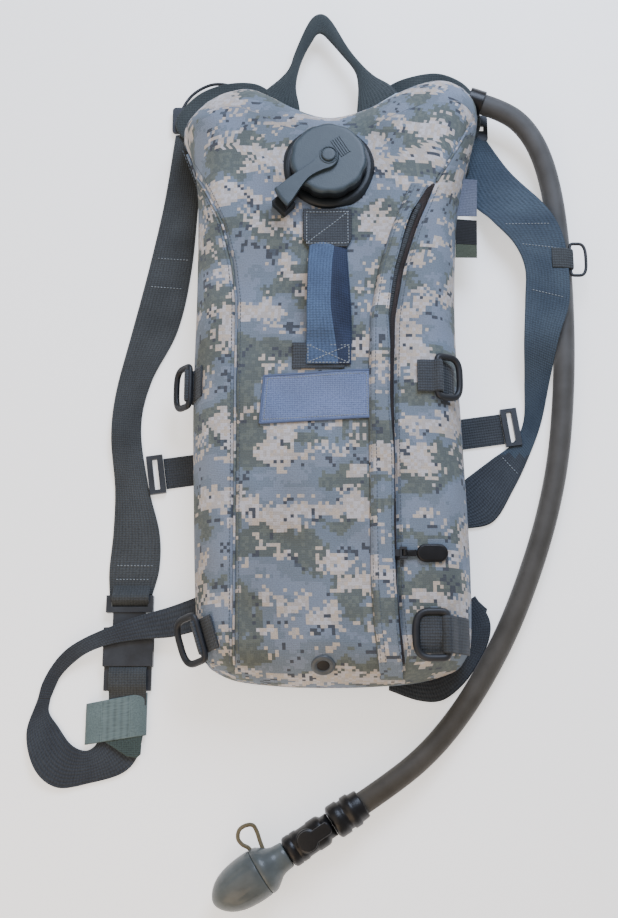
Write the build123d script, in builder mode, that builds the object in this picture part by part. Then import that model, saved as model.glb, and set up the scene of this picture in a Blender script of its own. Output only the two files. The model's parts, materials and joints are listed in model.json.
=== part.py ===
from build123d import *
import math
import os

os.makedirs("parts", exist_ok=True)

# An insulated hydration pack lying on its back. X is across it, Y is up it, towards the grab
# handle, and Z is out of its front. The origin is on the rest plane, under the upper back pad.
# All sizes are in millimetres.

# Driving dimensions of the bag
BACK_Z = 9.0          # underside of the back panel: the pads and buckles are below it
BACK_THICK = 3.0
BODY_DEPTH = 49.0     # back panel's top to the flat of the front panel
FABRIC = 1.5
FOAM = 5.0
FILM = 1.2            # reservoir wall
CLEAR = 0.3           # between soft pieces that lie against each other
TALL = 120.0          # longer than anything is high, for cutting prisms

# Webbing, buckles and rings
WEB = 1.6             # thickness of one layer of webbing
STRAP_THICK = 2.5
MAIN_WEB = 28.0       # webbing width at the side buckles
STERNUM_WEB = 25.0
BUCKLE_LOW = 0.3
RING_WIRE = 5.2
RING_WIDTH = 37.0
RING_REACH = 22.0
TAB_WIDTH = 25.0
BAR_CLEAR = 0.15
BUCKLE_HIGH = BACK_Z - CLEAR

# Fill port and cap
PORT_X, PORT_Y = -1.0, 181.0
NECK_BORE_R = 23.0
NECK_WALL = 3.0
NECK_TALL = 24.0
COLLAR_FLANGE = 9.0
COLLAR_THICK = 4.5
CAP_SKIRT = 3.5
CAP_TALL = 12.0
CAP_SKIRT_CLEAR = 0.5
COLLAR_R = NECK_BORE_R + NECK_WALL + COLLAR_FLANGE
CAP_R = NECK_BORE_R + NECK_WALL + CAP_SKIRT_CLEAR + CAP_SKIRT
CAP_TOP = 4.0
CAP_LOBES = 11
GASKET_THICK = 1.8
ARM_WIDTH = 13.0
ARM_THICK = 3.0

# Drink tube and what is on its end
TUBE_D = 17.0
INNER_TUBE_D = 9.5
COUPLING_R, COUPLING_LONG = 12.5, 22.0
STEM_R, STEM_LONG = 7.0, 6.0
VALVE_R, VALVE_LONG = 11.5, 32.0
COVER_R = 17.5
COVER_BASE_LONG = 23.0
COVER_DOME_LONG = 41.0
COVER_WALL = 2.0
BITE_R = 8.0

# Outline of the bag seen from the front, anticlockwise from its lower left corner
OUTLINE = [
    (-88, -208), (-70, -216), (-36, -220), (0, -221), (34, -220), (66, -217), (96, -207),
    (105, -186), (106, -125), (103, -31), (100, 60), (103, 138), (110, 182), (124, 240),
    (119, 268), (103, 281), (78, 282), (52, 268), (28, 252), (0, 243), (-24, 248),
    (-45, 261), (-64, 276), (-88, 276), (-114, 260), (-121, 236), (-112, 205), (-107, 170),
    (-106, 94), (-107, 0), (-105, -78), (-102, -156), (-98, -193),
]
MIDDLE_Y = 30.0
HALF_WIDTH = 105.0
HALF_LENGTH = 251.0
# Side profile of the bag: height as a share of its depth, how far the outline is drawn in,
# and how much of an outward offset goes into height there
PROFILE = [
    (0.00, 4.0, 0.0), (0.16, 0.0, 0.0), (0.45, 2.0, 0.2),
    (0.73, 9.0, 0.5), (0.90, 18.0, 0.8), (1.00, 34.0, 1.0),
]
BODY_Z = BACK_Z + BACK_THICK
FRONT_Z = BODY_Z + BODY_DEPTH

# Seams of the front, from the shoulder down
LEFT_SEAM = [
    (-117, 212), (-109, 191), (-96, 162), (-84, 134), (-76, 102), (-72, 70), (-72, 0),
    (-71, -100), (-70, -230),
]
RIGHT_SEAM = [
    (119, 236), (104, 206), (84, 169), (68, 130), (57, 95), (50, 55), (48, 0),
    (48, -150), (50, -180), (56, -230),
]
ZIP_WIDTH = 13.0


def scaled(inset):
    """Outline drawn in by inset at its sides and its ends."""
    across = 1 - inset / HALF_WIDTH
    along = 1 - inset / HALF_LENGTH
    return [(x * across, MIDDLE_Y + (y - MIDDLE_Y) * along) for x, y in OUTLINE]


def dome(grow):
    """The bag's solid form, grown outwards by grow everywhere but at its floor."""
    with BuildPart(mode=Mode.PRIVATE) as form:
        for share, inset, rise in PROFILE:
            with BuildSketch(Plane.XY.offset(BODY_Z + share * BODY_DEPTH + rise * grow)):
                with BuildLine():
                    Polyline(*scaled(inset - grow), close=True)
                make_face()
        loft(ruled=True)
    return form.part


def prism(points, low, high):
    """A flat plate with a polygon outline, from height low to height high."""
    with BuildPart(mode=Mode.PRIVATE) as plate:
        with BuildSketch(Plane.XY.offset(low)):
            with BuildLine():
                Polyline(*points, close=True)
            make_face()
        extrude(amount=high - low)
    return plate.part


def slab(x0, x1, y0, y1, z0, z1):
    """A box by its corners."""
    with BuildPart(Plane.XY.offset(z0), mode=Mode.PRIVATE) as block:
        with Locations(((x0 + x1) / 2, (y0 + y1) / 2)):
            Box(x1 - x0, y1 - y0, z1 - z0, align=(Align.CENTER, Align.CENTER, Align.MIN))
    return block.part


def side_view_y(points):
    """A solid with the given Y-Z outline, across the whole bag."""
    with BuildPart(mode=Mode.PRIVATE) as view:
        with BuildSketch(Plane.YZ):
            with BuildLine():
                Polyline(*points, close=True)
            make_face()
        extrude(amount=400, both=True)
    return view.part


def side_view_x(points):
    """A solid with the given X-Z outline, along the whole bag."""
    with BuildPart(mode=Mode.PRIVATE) as view:
        with BuildSketch(Plane.XZ):
            with BuildLine():
                Polyline(*points, close=True)
            make_face()
        extrude(amount=500, both=True)
    return view.part


def keep(node, part):
    """Label a finished piece and write it."""
    part.label = node
    export_step(part, f"parts/{node}.step")


outer_form = dome(0)
clear_form = dome(CLEAR)
lining_form = dome(-FABRIC)


def on_bag(points, low_form, high_form):
    """A layer lying on the bag, between two of its offset forms, inside a plan outline."""
    with BuildPart(mode=Mode.PRIVATE) as layer:
        add(high_form)
        add(low_form, mode=Mode.SUBTRACT)
        add(prism(points, 0, TALL), mode=Mode.INTERSECT)
    return layer.part


def shifted(points, dx):
    """The same points moved sideways."""
    return [(x + dx, y) for x, y in points]


# Back of the bag
with BuildPart() as back_panel:
    add(prism(scaled(5), BACK_Z, BODY_Z))
keep("back_panel", back_panel.part)

PAD_HALF = 80.0
UPPER_PAD = (-9.0, 185.0)
LOWER_PAD = (-200.0, -82.0)
LOWER_PAD_HALF = 41.0
with BuildPart() as back_pads:
    with BuildSketch():
        with Locations((0, sum(UPPER_PAD) / 2)):
            RectangleRounded(2 * PAD_HALF, UPPER_PAD[1] - UPPER_PAD[0], 18)
        with Locations((0, sum(LOWER_PAD) / 2)):
            RectangleRounded(2 * LOWER_PAD_HALF, LOWER_PAD[1] - LOWER_PAD[0], 14)
    extrude(amount=BACK_Z)
keep("back_pads", back_pads.part)

YOKE_THICK = 3.0
YOKE = [
    (-118, 192), (-129, 236), (-122, 262), (-109, 272), (-90, 283), (-67, 289), (-50, 283), (-42, 271),
    (-24, 256), (0, 251), (28, 260), (46, 276), (66, 290), (89, 297), (108, 292), (122, 281), (130, 262),
    (131, 240), (116, 192),
]
with BuildPart() as yoke_panel:
    add(prism(YOKE, BACK_Z - YOKE_THICK, BACK_Z))
keep("yoke_panel", yoke_panel.part)

# Tube exit through the right shoulder of the bag
EXIT_X, EXIT_Y, EXIT_Z = 129.0, 258.0, 24.0
EXIT_DIRECTION = (math.cos(math.radians(-20)), math.sin(math.radians(-20)), 0.0)
EXIT_SLEEVE_R = TUBE_D / 2 + 2
EXIT_SLEEVE_LONG = 13.0
SLEEVE_CLEAR = 0.25
exit_plane = Plane(origin=(EXIT_X, EXIT_Y, EXIT_Z), z_dir=EXIT_DIRECTION)

# Drain grommet on the lower slope
GROMMET_X, GROMMET_Y, GROMMET_Z = -6.0, -207.4, FRONT_Z - 9.0
GROMMET_R, DRAIN_R, GROMMET_BARREL_R = 9.0, 3.4, 4.4
grommet_plane = Plane(origin=(GROMMET_X, GROMMET_Y, GROMMET_Z), z_dir=(0, -0.66, 0.75))


def openings_cut():
    """Everything that passes through the fabric and the foam."""
    with BuildPart(mode=Mode.PRIVATE) as cuts:
        with BuildSketch(exit_plane):
            Circle(EXIT_SLEEVE_R + CLEAR)
        extrude(amount=40, both=True)
        with BuildSketch(grommet_plane):
            Circle(GROMMET_BARREL_R + CLEAR)
        extrude(amount=14, both=True)
        with BuildSketch(Plane.XY.offset(BODY_Z + BODY_DEPTH / 2)):
            with Locations((PORT_X, PORT_Y)):
                Circle(NECK_BORE_R + NECK_WALL + CLEAR)
        extrude(amount=BODY_DEPTH)
    return cuts.part


passages = openings_cut()

# Front of the bag: a centre panel between two gussets, the right one with a zipper
ZIP_SEAM = RIGHT_SEAM[2:]
ZIP_LEFT = shifted(ZIP_SEAM, -ZIP_WIDTH)
LEFT_REGION = LEFT_SEAM + [(-170, -260), (-170, 212)]
RIGHT_REGION = [(170, 236)] + RIGHT_SEAM + [(170, -260)]
ZIP_REGION = ZIP_SEAM + ZIP_LEFT[::-1]
FRONT_REGION = LEFT_SEAM + ZIP_LEFT[::-1] + RIGHT_SEAM[2::-1] + [(170, 236), (170, 320), (-170, 320), (-170, 212)]


def fabric_piece(region):
    """A cut panel of the outer fabric, with the passages through it."""
    with BuildPart(mode=Mode.PRIVATE) as panel:
        add(on_bag(region, lining_form, outer_form))
        add(passages, mode=Mode.SUBTRACT)
    return panel.part


keep("front_panel", fabric_piece(FRONT_REGION))
keep("left_gusset", fabric_piece(LEFT_REGION))
keep("right_gusset", fabric_piece(RIGHT_REGION))
keep("zipper_tape", fabric_piece(ZIP_REGION))

with BuildPart() as foam_liner:
    add(dome(-FABRIC - CLEAR))
    add(dome(-FABRIC - CLEAR - FOAM), mode=Mode.SUBTRACT)
    add(passages, mode=Mode.SUBTRACT)
keep("foam_liner", foam_liner.part)

# Zipper under its storm flap
CHAIN_WIDTH = 5.0
CHAIN_TALL = 1.4
FLAP_GAP = 4.6
FLAP_LAP = 4.0
chain_left = shifted(ZIP_SEAM, -ZIP_WIDTH / 2 - CHAIN_WIDTH / 2)
chain_right = shifted(ZIP_SEAM, -ZIP_WIDTH / 2 + CHAIN_WIDTH / 2)
with BuildPart() as zipper_chain:
    add(on_bag(chain_left[1:-1] + chain_right[-2:0:-1], outer_form, dome(CHAIN_TALL)))
keep("zipper_chain", zipper_chain.part)

flap_edge = shifted(ZIP_SEAM, 1)
flap_root = shifted(ZIP_SEAM, -ZIP_WIDTH - FLAP_LAP)
flap_fold = shifted(ZIP_SEAM, -ZIP_WIDTH)
with BuildPart() as storm_flap:
    add(on_bag(flap_fold[:-1] + flap_edge[-2::-1], dome(FLAP_GAP), dome(FLAP_GAP + FABRIC)))
    add(on_bag(flap_root[:-1] + flap_fold[-2::-1], outer_form, dome(FLAP_GAP + FABRIC)))
keep("storm_flap", storm_flap.part)

SLIDER_Y = -127.0
SLIDER_X = RIGHT_SEAM[7][0] - ZIP_WIDTH / 2
SLIDER_HALF = 4.5
SLIDER_LONG = 11.0
PULL_X = 53.5
PULL_Z = FRONT_Z + 3.2
PIN_R = 1.0
with BuildPart() as zipper_slider:
    # the slider straddles the chain, its bail reaching out past the flap's edge
    add(slab(SLIDER_X - SLIDER_HALF, SLIDER_X + SLIDER_HALF, SLIDER_Y - SLIDER_LONG / 2,
             SLIDER_Y + SLIDER_LONG / 2, FRONT_Z + CHAIN_TALL + 0.1, FRONT_Z + CHAIN_TALL + 2.4))
    add(slab(SLIDER_X, PULL_X - 3.5, SLIDER_Y - 2.5, SLIDER_Y + 2.5,
             FRONT_Z + CHAIN_TALL + 0.5, FRONT_Z + CHAIN_TALL + 2.1))
    add(slab(PULL_X - 3.8, PULL_X + 1.5, SLIDER_Y - 4.5, SLIDER_Y - 2.5, PULL_Z - 1.5, PULL_Z + 1.5))
    add(slab(PULL_X - 3.8, PULL_X + 1.5, SLIDER_Y + 2.5, SLIDER_Y + 4.5, PULL_Z - 1.5, PULL_Z + 1.5))
    add(slab(PULL_X - 3.8, PULL_X - 2.2, SLIDER_Y - 3, SLIDER_Y + 3, PULL_Z - 1.2, PULL_Z + 1.2))
    with BuildSketch(Plane.XZ.offset(-SLIDER_Y)):
        with Locations((PULL_X, PULL_Z)):
            Circle(PIN_R)
    extrude(amount=3, both=True)
keep("zipper_slider", zipper_slider.part)

PULL_TILT = 3.0
pull_plane = Plane(origin=(PULL_X, SLIDER_Y, PULL_Z), x_dir=(math.cos(math.radians(PULL_TILT)), 0,
                   -math.sin(math.radians(PULL_TILT))), z_dir=(math.sin(math.radians(PULL_TILT)), 0,
                                                              math.cos(math.radians(PULL_TILT))))
GRIP_START, GRIP_LONG, GRIP_WIDE, GRIP_THICK = 8.5, 23.0, 13.0, 4.4
with BuildPart() as zipper_pull_tape:
    with BuildSketch(pull_plane.offset(-0.9)):
        with Locations((4.0, 0)):
            Rectangle(8.0 + 1.0, 4.4)
    extrude(amount=1.8)
    with BuildSketch(Plane.XZ.offset(-SLIDER_Y)):
        with Locations((PULL_X, PULL_Z)):
            Circle(2.0)
    extrude(amount=2.2, both=True)
    with BuildSketch(Plane.XZ.offset(-SLIDER_Y)):
        with Locations((PULL_X, PULL_Z)):
            Circle(PIN_R + 0.1)
    extrude(amount=3, both=True, mode=Mode.SUBTRACT)
keep("zipper_pull_tape", zipper_pull_tape.part)

with BuildPart() as zipper_pull_grip:
    with BuildSketch(pull_plane.offset(-GRIP_THICK / 2)):
        with Locations((GRIP_START + GRIP_LONG / 2, 0)):
            SlotOverall(GRIP_LONG, GRIP_WIDE)
    extrude(amount=GRIP_THICK)
    fillet(zipper_pull_grip.edges().filter_by(GeomType.LINE, reverse=True), 1.4)
keep("zipper_pull_grip", zipper_pull_grip.part)

# Reservoir inside the foam, and its fill neck
RESERVOIR_LOW, RESERVOIR_HIGH = BODY_Z + 2.0, FRONT_Z - 12.0
RESERVOIR_ACROSS, RESERVOIR_ALONG = 0.77, 0.90


def pouch(wall):
    """The reservoir's outer form, drawn in by a wall."""
    levels = [(RESERVOIR_LOW + wall, 5.0), (RESERVOIR_LOW + 8, 0.0), (RESERVOIR_HIGH - 9, 0.0),
              (RESERVOIR_HIGH - wall, 7.0)]
    with BuildPart(mode=Mode.PRIVATE) as form:
        for height, inset in levels:
            across = RESERVOIR_ACROSS - (inset + wall) / HALF_WIDTH
            along = RESERVOIR_ALONG - (0.4 * inset + wall) / HALF_LENGTH
            ring = [(x * across, MIDDLE_Y + (y - MIDDLE_Y) * along) for x, y in OUTLINE]
            with BuildSketch(Plane.XY.offset(height)):
                with BuildLine():
                    Polyline(*ring, close=True)
                make_face()
        loft(ruled=True)
    return form.part


OUTLET_X, OUTLET_Y, OUTLET_Z = 82.0, -150.0, 30.0
with BuildPart() as reservoir:
    add(pouch(0))
    add(pouch(FILM), mode=Mode.SUBTRACT)
    with BuildSketch(Plane.XY.offset(RESERVOIR_HIGH - 5)):
        with Locations((PORT_X, PORT_Y)):
            Circle(NECK_BORE_R)
    extrude(amount=10, mode=Mode.SUBTRACT)
keep("reservoir", reservoir.part)

with BuildPart(Plane.XY.offset(RESERVOIR_HIGH)) as fill_neck:
    with Locations((PORT_X, PORT_Y)):
        Cylinder(NECK_BORE_R + NECK_WALL, NECK_TALL, align=(Align.CENTER, Align.CENTER, Align.MIN))
        Cylinder(NECK_BORE_R + NECK_WALL + 4, 2.2, align=(Align.CENTER, Align.CENTER, Align.MIN))
        Cylinder(NECK_BORE_R, NECK_TALL, align=(Align.CENTER, Align.CENTER, Align.MIN),
                 mode=Mode.SUBTRACT)
keep("fill_neck", fill_neck.part)

HINGE_X, HINGE_Y = -36.0, 147.0
HINGE_LONG, HINGE_WIDE = 18.0, 17.0
HINGE_TURN = math.degrees(math.atan2(HINGE_Y - PORT_Y, HINGE_X - PORT_X))
NECK_TOP = RESERVOIR_HIGH + NECK_TALL
CAP_LOW = NECK_TOP + GASKET_THICK + 0.2 + CAP_TOP - CAP_TALL
CAP_HIGH = CAP_LOW + CAP_TALL
LUG_HIGH = FRONT_Z + 10.0
with BuildPart(Plane.XY.offset(FRONT_Z)) as port_collar:
    with Locations((PORT_X, PORT_Y)):
        Cylinder(COLLAR_R, COLLAR_THICK, align=(Align.CENTER, Align.CENTER, Align.MIN))
    chamfer(port_collar.edges().group_by(Axis.Z)[-1], 1.6)
    with Locations(Location((HINGE_X, HINGE_Y, 0), (0, 0, HINGE_TURN))):
        Box(12, 14, LUG_HIGH - FRONT_Z, align=(Align.CENTER, Align.CENTER, Align.MIN))
    with Locations((PORT_X, PORT_Y)):
        Cylinder(NECK_BORE_R + NECK_WALL + CLEAR, 12, align=(Align.CENTER, Align.CENTER, Align.MIN),
                 mode=Mode.SUBTRACT)
keep("port_collar", port_collar.part)

with BuildPart(Plane.XY.offset(CAP_LOW)) as fill_cap:
    with Locations((PORT_X, PORT_Y)):
        Cylinder(CAP_R, CAP_TALL, align=(Align.CENTER, Align.CENTER, Align.MIN))
        chamfer(fill_cap.edges().group_by(Axis.Z)[-1], 2.0)
    with Locations((PORT_X, PORT_Y)):
        with PolarLocations(CAP_R + 3.2, CAP_LOBES):
            Cylinder(5.2, CAP_TALL, align=(Align.CENTER, Align.CENTER, Align.MIN), mode=Mode.SUBTRACT)
    with Locations((PORT_X, PORT_Y)):
        Cylinder(NECK_BORE_R + NECK_WALL + CAP_SKIRT_CLEAR, CAP_TALL - CAP_TOP,
                 align=(Align.CENTER, Align.CENTER, Align.MIN), mode=Mode.SUBTRACT)
keep("fill_cap", fill_cap.part)

with BuildPart(Plane.XY.offset(NECK_TOP + 0.2)) as cap_gasket:
    with Locations((PORT_X, PORT_Y)):
        Cylinder(NECK_BORE_R + NECK_WALL, GASKET_THICK, align=(Align.CENTER, Align.CENTER, Align.MIN))
        Cylinder(NECK_BORE_R + 0.2, GASKET_THICK, align=(Align.CENTER, Align.CENTER, Align.MIN),
                 mode=Mode.SUBTRACT)
keep("cap_gasket", cap_gasket.part)

RIVET_R, RIVET_TALL = 5.5, 2.0
ARM_Z = CAP_HIGH + CLEAR
arm_reach = math.hypot(HINGE_X - PORT_X, HINGE_Y - PORT_Y)
arm_plane = Plane(origin=(PORT_X, PORT_Y, ARM_Z), x_dir=(HINGE_X - PORT_X, HINGE_Y - PORT_Y, 0),
                  z_dir=(0, 0, 1))
with BuildPart() as cap_tether_arm:
    with BuildSketch(arm_plane):
        Circle(ARM_WIDTH / 2 + 1)
        with Locations((arm_reach / 2, 0)):
            Rectangle(arm_reach, ARM_WIDTH)
        with Locations((arm_reach, 0)):
            Rectangle(HINGE_WIDE, HINGE_LONG)
    extrude(amount=ARM_THICK)
    with BuildSketch(arm_plane.offset(LUG_HIGH + CLEAR - ARM_Z)):
        with Locations((arm_reach + 1.5, 0)):
            Rectangle(14, HINGE_LONG - 2)
    extrude(amount=ARM_Z - LUG_HIGH - CLEAR)
keep("cap_tether_arm", cap_tether_arm.part)

with BuildPart(Plane.XY.offset(ARM_Z + ARM_THICK)) as cap_rivet:
    with Locations((PORT_X, PORT_Y)):
        Cylinder(RIVET_R, RIVET_TALL, align=(Align.CENTER, Align.CENTER, Align.MIN))
    fillet(cap_rivet.edges().group_by(Axis.Z)[-1], 1.2)
keep("cap_rivet", cap_rivet.part)

# Tube inside the bag, from the reservoir's outlet to the shoulder
INNER_ROUTE = [
    (OUTLET_X + 7, OUTLET_Y, OUTLET_Z - 6), (88, -60, 24), (87.5, 60, 24), (90.5, 138, 24),
    (97, 190, 24), (105, 236, 24),
]
SLEEVE_LEAD = 16.0
exit_point = Vector(EXIT_X, EXIT_Y, EXIT_Z)
exit_turn = exit_point - Vector(*EXIT_DIRECTION) * (EXIT_SLEEVE_LONG + SLEEVE_LEAD)
with BuildPart() as inner_tube:
    with BuildLine() as inner_path:
        FilletPolyline(*INNER_ROUTE, exit_turn, exit_point, radius=[60, 60, 60, 60, 11, 11])
    with BuildSketch(Plane(origin=inner_path.line @ 0, z_dir=inner_path.line % 0)):
        Circle(INNER_TUBE_D / 2)
        Circle(INNER_TUBE_D / 2 - 1.6, mode=Mode.SUBTRACT)
    sweep()
keep("inner_tube", inner_tube.part)

with BuildPart() as outlet_elbow:
    # a moulded elbow welded to the reservoir's edge, its spigot under the tube's end
    add(slab(OUTLET_X - 1, OUTLET_X + 13, OUTLET_Y - 16, OUTLET_Y - CLEAR, OUTLET_Z - 13, OUTLET_Z + 1))
    add(reservoir.part, mode=Mode.SUBTRACT)
    add(pouch(FILM), mode=Mode.SUBTRACT)
keep("outlet_elbow", outlet_elbow.part)

with BuildPart() as tube_exit_sleeve:
    with BuildSketch(exit_plane):
        Circle(EXIT_SLEEVE_R)
        Circle(INNER_TUBE_D / 2 + SLEEVE_CLEAR, mode=Mode.SUBTRACT)
    extrude(amount=-EXIT_SLEEVE_LONG)
keep("tube_exit_sleeve", tube_exit_sleeve.part)

with BuildPart() as drain_grommet:
    with BuildSketch(grommet_plane):
        Circle(GROMMET_BARREL_R)
    extrude(amount=-8.0)
    with BuildSketch(grommet_plane.offset(0.5)):
        Circle(GROMMET_R)
    extrude(amount=1.6)
    with BuildSketch(grommet_plane):
        Circle(GROMMET_BARREL_R)
    extrude(amount=1.0)
    with BuildSketch(grommet_plane.offset(5)):
        Circle(DRAIN_R)
    extrude(amount=-16, mode=Mode.SUBTRACT)
keep("drain_grommet", drain_grommet.part)

# Grab handle and the sewn pieces of the front
HANDLE_LOW, HANDLE_HIGH = 15.0, 21.0
HANDLE = [
    (-60, 262), (-45, 283), (-31, 296), (-19, 325), (-10, 342), (0, 342), (10, 324), (22, 298),
    (36, 284), (52, 262), (36, 258), (19, 284), (8, 304), (-3, 324), (-7, 324), (-15, 308),
    (-24, 286), (-42, 258),
]
with BuildPart() as grab_handle:
    add(prism(HANDLE, HANDLE_LOW, HANDLE_HIGH))
    add(prism([(-62, 256), (-40, 256), (-40, 285), (-50, 285)], BACK_Z, HANDLE_HIGH))
    add(prism([(34, 256), (54, 256), (44, 285), (34, 285)], BACK_Z, HANDLE_HIGH))
    add(clear_form, mode=Mode.SUBTRACT)
    add(prism(scaled(5 - CLEAR), 0, BODY_Z + 0.01), mode=Mode.SUBTRACT)
keep("grab_handle", grab_handle.part)

LOOP_WIDE = 36.0
TAB_BELOW_COLLAR = 2.0
UPPER_TAB = (-21.0, 17.0, 112.0, PORT_Y - COLLAR_R - TAB_BELOW_COLLAR)
LOWER_TAB = (-29.0, 11.0, 14.0, 34.0)
with BuildPart() as loop_tabs:
    add(slab(*UPPER_TAB, FRONT_Z, FRONT_Z + WEB))
    add(slab(*LOWER_TAB, FRONT_Z, FRONT_Z + WEB))
keep("loop_tabs", loop_tabs.part)

LOOP_RISE = 12.0
loop_foot = FRONT_Z + WEB
with BuildPart() as front_loop_strap:
    with BuildSketch(Plane.YZ.offset(-1 - LOOP_WIDE / 2)):
        with BuildLine():
            Polyline((138, loop_foot), (138, loop_foot + WEB), (114, loop_foot + WEB))
            ThreePointArc((114, loop_foot + WEB), (72, loop_foot + LOOP_RISE), (33, loop_foot + WEB))
            Polyline((33, loop_foot + WEB), (17, loop_foot + WEB), (17, loop_foot), (35, loop_foot))
            ThreePointArc((35, loop_foot), (72, loop_foot + LOOP_RISE - WEB), (112, loop_foot))
            Line((112, loop_foot), (138, loop_foot))
        make_face()
    extrude(amount=LOOP_WIDE)
keep("front_loop_strap", front_loop_strap.part)

PATCH = [(-53, -29), (30.5, -24), (30, 13), (-50, 8)]
PATCH_THICK = 1.2
with BuildPart() as blank_patch:
    add(prism(PATCH, FRONT_Z, FRONT_Z + PATCH_THICK))
keep("blank_patch", blank_patch.part)

TAG_Z = BODY_Z + 15.0
TAG_THICK = 0.8
with BuildPart() as sewn_tags:
    add(slab(98, 121, 154, 187, TAG_Z, TAG_Z + TAG_THICK))
    add(slab(97, 120, 118, 152.5, TAG_Z, TAG_Z + TAG_THICK))
    add(clear_form, mode=Mode.SUBTRACT)
keep("sewn_tags", sewn_tags.part)


def ring_frame(centre, heading, tilt):
    """A plane whose X is the ring's bar and whose Y is the way the ring reaches, tilt degrees
    below level, for a ring that reaches along heading, in degrees from X."""
    turn, down = math.radians(heading), math.radians(tilt)
    bar = (-math.sin(turn), math.cos(turn), 0)
    reach = (math.cos(turn) * math.cos(down), math.sin(turn) * math.cos(down), -math.sin(down))
    return Plane(origin=centre, x_dir=bar, z_dir=Vector(*bar).cross(Vector(*reach)))


def d_ring(frame, width, reach, wire, corner):
    """A D-shaped wire ring, its bar centred on the frame's origin."""
    half = width / 2 - wire / 2
    far = reach - wire / 2
    with BuildPart(mode=Mode.PRIVATE) as ring:
        with BuildLine(frame) as path:
            FilletPolyline((half, 0), (half, far), (-half, far), (-half, 0), close=True,
                           radius=[corner, far * 0.6, far * 0.6, corner])
        with BuildSketch(Plane(origin=path.line @ 0, z_dir=path.line % 0)):
            Circle(wire / 2)
        sweep()
    return ring.part


def bar_sleeve(frame, long, wire, mode):
    """The fold of webbing round a ring's bar, or the hole through it."""
    bore = wire / 2 + BAR_CLEAR
    radius = bore + 1.1 if mode == Mode.ADD else bore
    with BuildPart(mode=Mode.PRIVATE) as sleeve:
        with BuildSketch(Plane(origin=frame.origin, z_dir=frame.x_dir)):
            Circle(radius)
        extrude(amount=long / 2, both=True)
    return sleeve.part


ROOT_LONG = 8.0
ROOT_THICK = 4.0


def tab_root(frame):
    """The webbing leading from under a ring's bar down to the bag."""
    with BuildPart(mode=Mode.PRIVATE) as root:
        with BuildSketch(frame.offset(RING_WIRE / 2)):
            with Locations((0, -ROOT_LONG / 2)):
                Rectangle(TAB_WIDTH, ROOT_LONG)
        extrude(amount=ROOT_THICK)
    return root.part


# Ring name, bar centre, heading, tilt, and the tab's plan outline
RINGS = {
    "right_middle": ((80.8, 8, FRONT_Z + 2.4), 0, 25, [(62, -5), (81, -5), (81, 21), (62, 21)]),
    "left_middle": ((-108.5, 8, BODY_Z + 0.55 * BODY_DEPTH), 180, 53,
                    [(-109, -5), (-92, -5), (-92, 21), (-109, 21)]),
    "left_lower": ((-95.5, -186.2, BODY_Z + 0.77 * BODY_DEPTH), 197, 42,
                   [(-101, -171), (-84, -166), (-77, -193), (-93, -198)]),
    "right_lower": ((83.5, -186, FRONT_Z + 2.2), 180, -3, [(83, -199), (98, -199), (98, -173), (83, -173)]),
}
tab_form = dome(WEB + 0.4)
all_tabs = []
for ring_name, (centre, heading, tilt, tab_outline) in RINGS.items():
    frame = ring_frame(centre, heading, tilt)
    keep(f"ring_{ring_name}", d_ring(frame, RING_WIDTH, RING_REACH, RING_WIRE, 4.0))
    with BuildPart() as tab:
        add(on_bag(tab_outline, outer_form, tab_form))
        add(slab(-200, 200, -300, 300, 0, BODY_Z + 14), mode=Mode.SUBTRACT)
        add(bar_sleeve(frame, TAB_WIDTH, RING_WIRE, Mode.ADD))
        add(tab_root(frame))
        add(bar_sleeve(frame, TAB_WIDTH + 6, RING_WIRE, Mode.SUBTRACT), mode=Mode.SUBTRACT)
        add(outer_form, mode=Mode.SUBTRACT)
    all_tabs.append(tab.part)

# The small ring on the right shoulder strap, over the tube
STRAP_RING_WIRE = 2.6
STRAP_OVER_TUBE = TUBE_D + 4.0
STRAP_RING_Z = STRAP_OVER_TUBE - 1.6
strap_ring_frame = ring_frame((195.6, 121, STRAP_RING_Z), 0, 0)
keep("ring_strap", d_ring(strap_ring_frame, 30.0, 14.0, STRAP_RING_WIRE, 3.0))
with BuildPart() as strap_tab:
    add(slab(178, 195.6, 112, 130, STRAP_OVER_TUBE - 1.7, STRAP_OVER_TUBE))
    add(bar_sleeve(strap_ring_frame, 18.0, STRAP_RING_WIRE - 0.8, Mode.ADD))
    add(bar_sleeve(strap_ring_frame, 30.0, STRAP_RING_WIRE, Mode.SUBTRACT), mode=Mode.SUBTRACT)
all_tabs.append(strap_tab.part)
with BuildPart() as ring_tabs:
    for tab_part in all_tabs:
        add(tab_part)
keep("ring_tabs", ring_tabs.part)

# Shoulder straps, cut from their plan outline and their side view
under_yoke = BACK_Z - YOKE_THICK
LEFT_STRAP = [
    (-129, 240), (-137, 178), (-149, 116), (-160, 66), (-171, 14), (-172, -35), (-168, -90),
    (-171, -130), (-170, -150), (-137, -150), (-131, -134), (-132, -107), (-142, -66),
    (-149, -30), (-149, -6), (-145, 22), (-132, 40), (-123, 66), (-113, 118), (-108, 150),
    (-108, 183), (-104, 240),
]
LEFT_SIDE = [
    (240, under_yoke), (240, under_yoke - STRAP_THICK), (196, under_yoke - STRAP_THICK),
    (165, 0), (-151, 0), (-151, STRAP_THICK), (166, STRAP_THICK), (198, under_yoke),
]
with BuildPart() as left_shoulder_strap:
    add(prism(LEFT_STRAP, -1, TALL))
    add(side_view_y(LEFT_SIDE), mode=Mode.INTERSECT)
keep("left_shoulder_strap", left_shoulder_strap.part)

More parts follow.
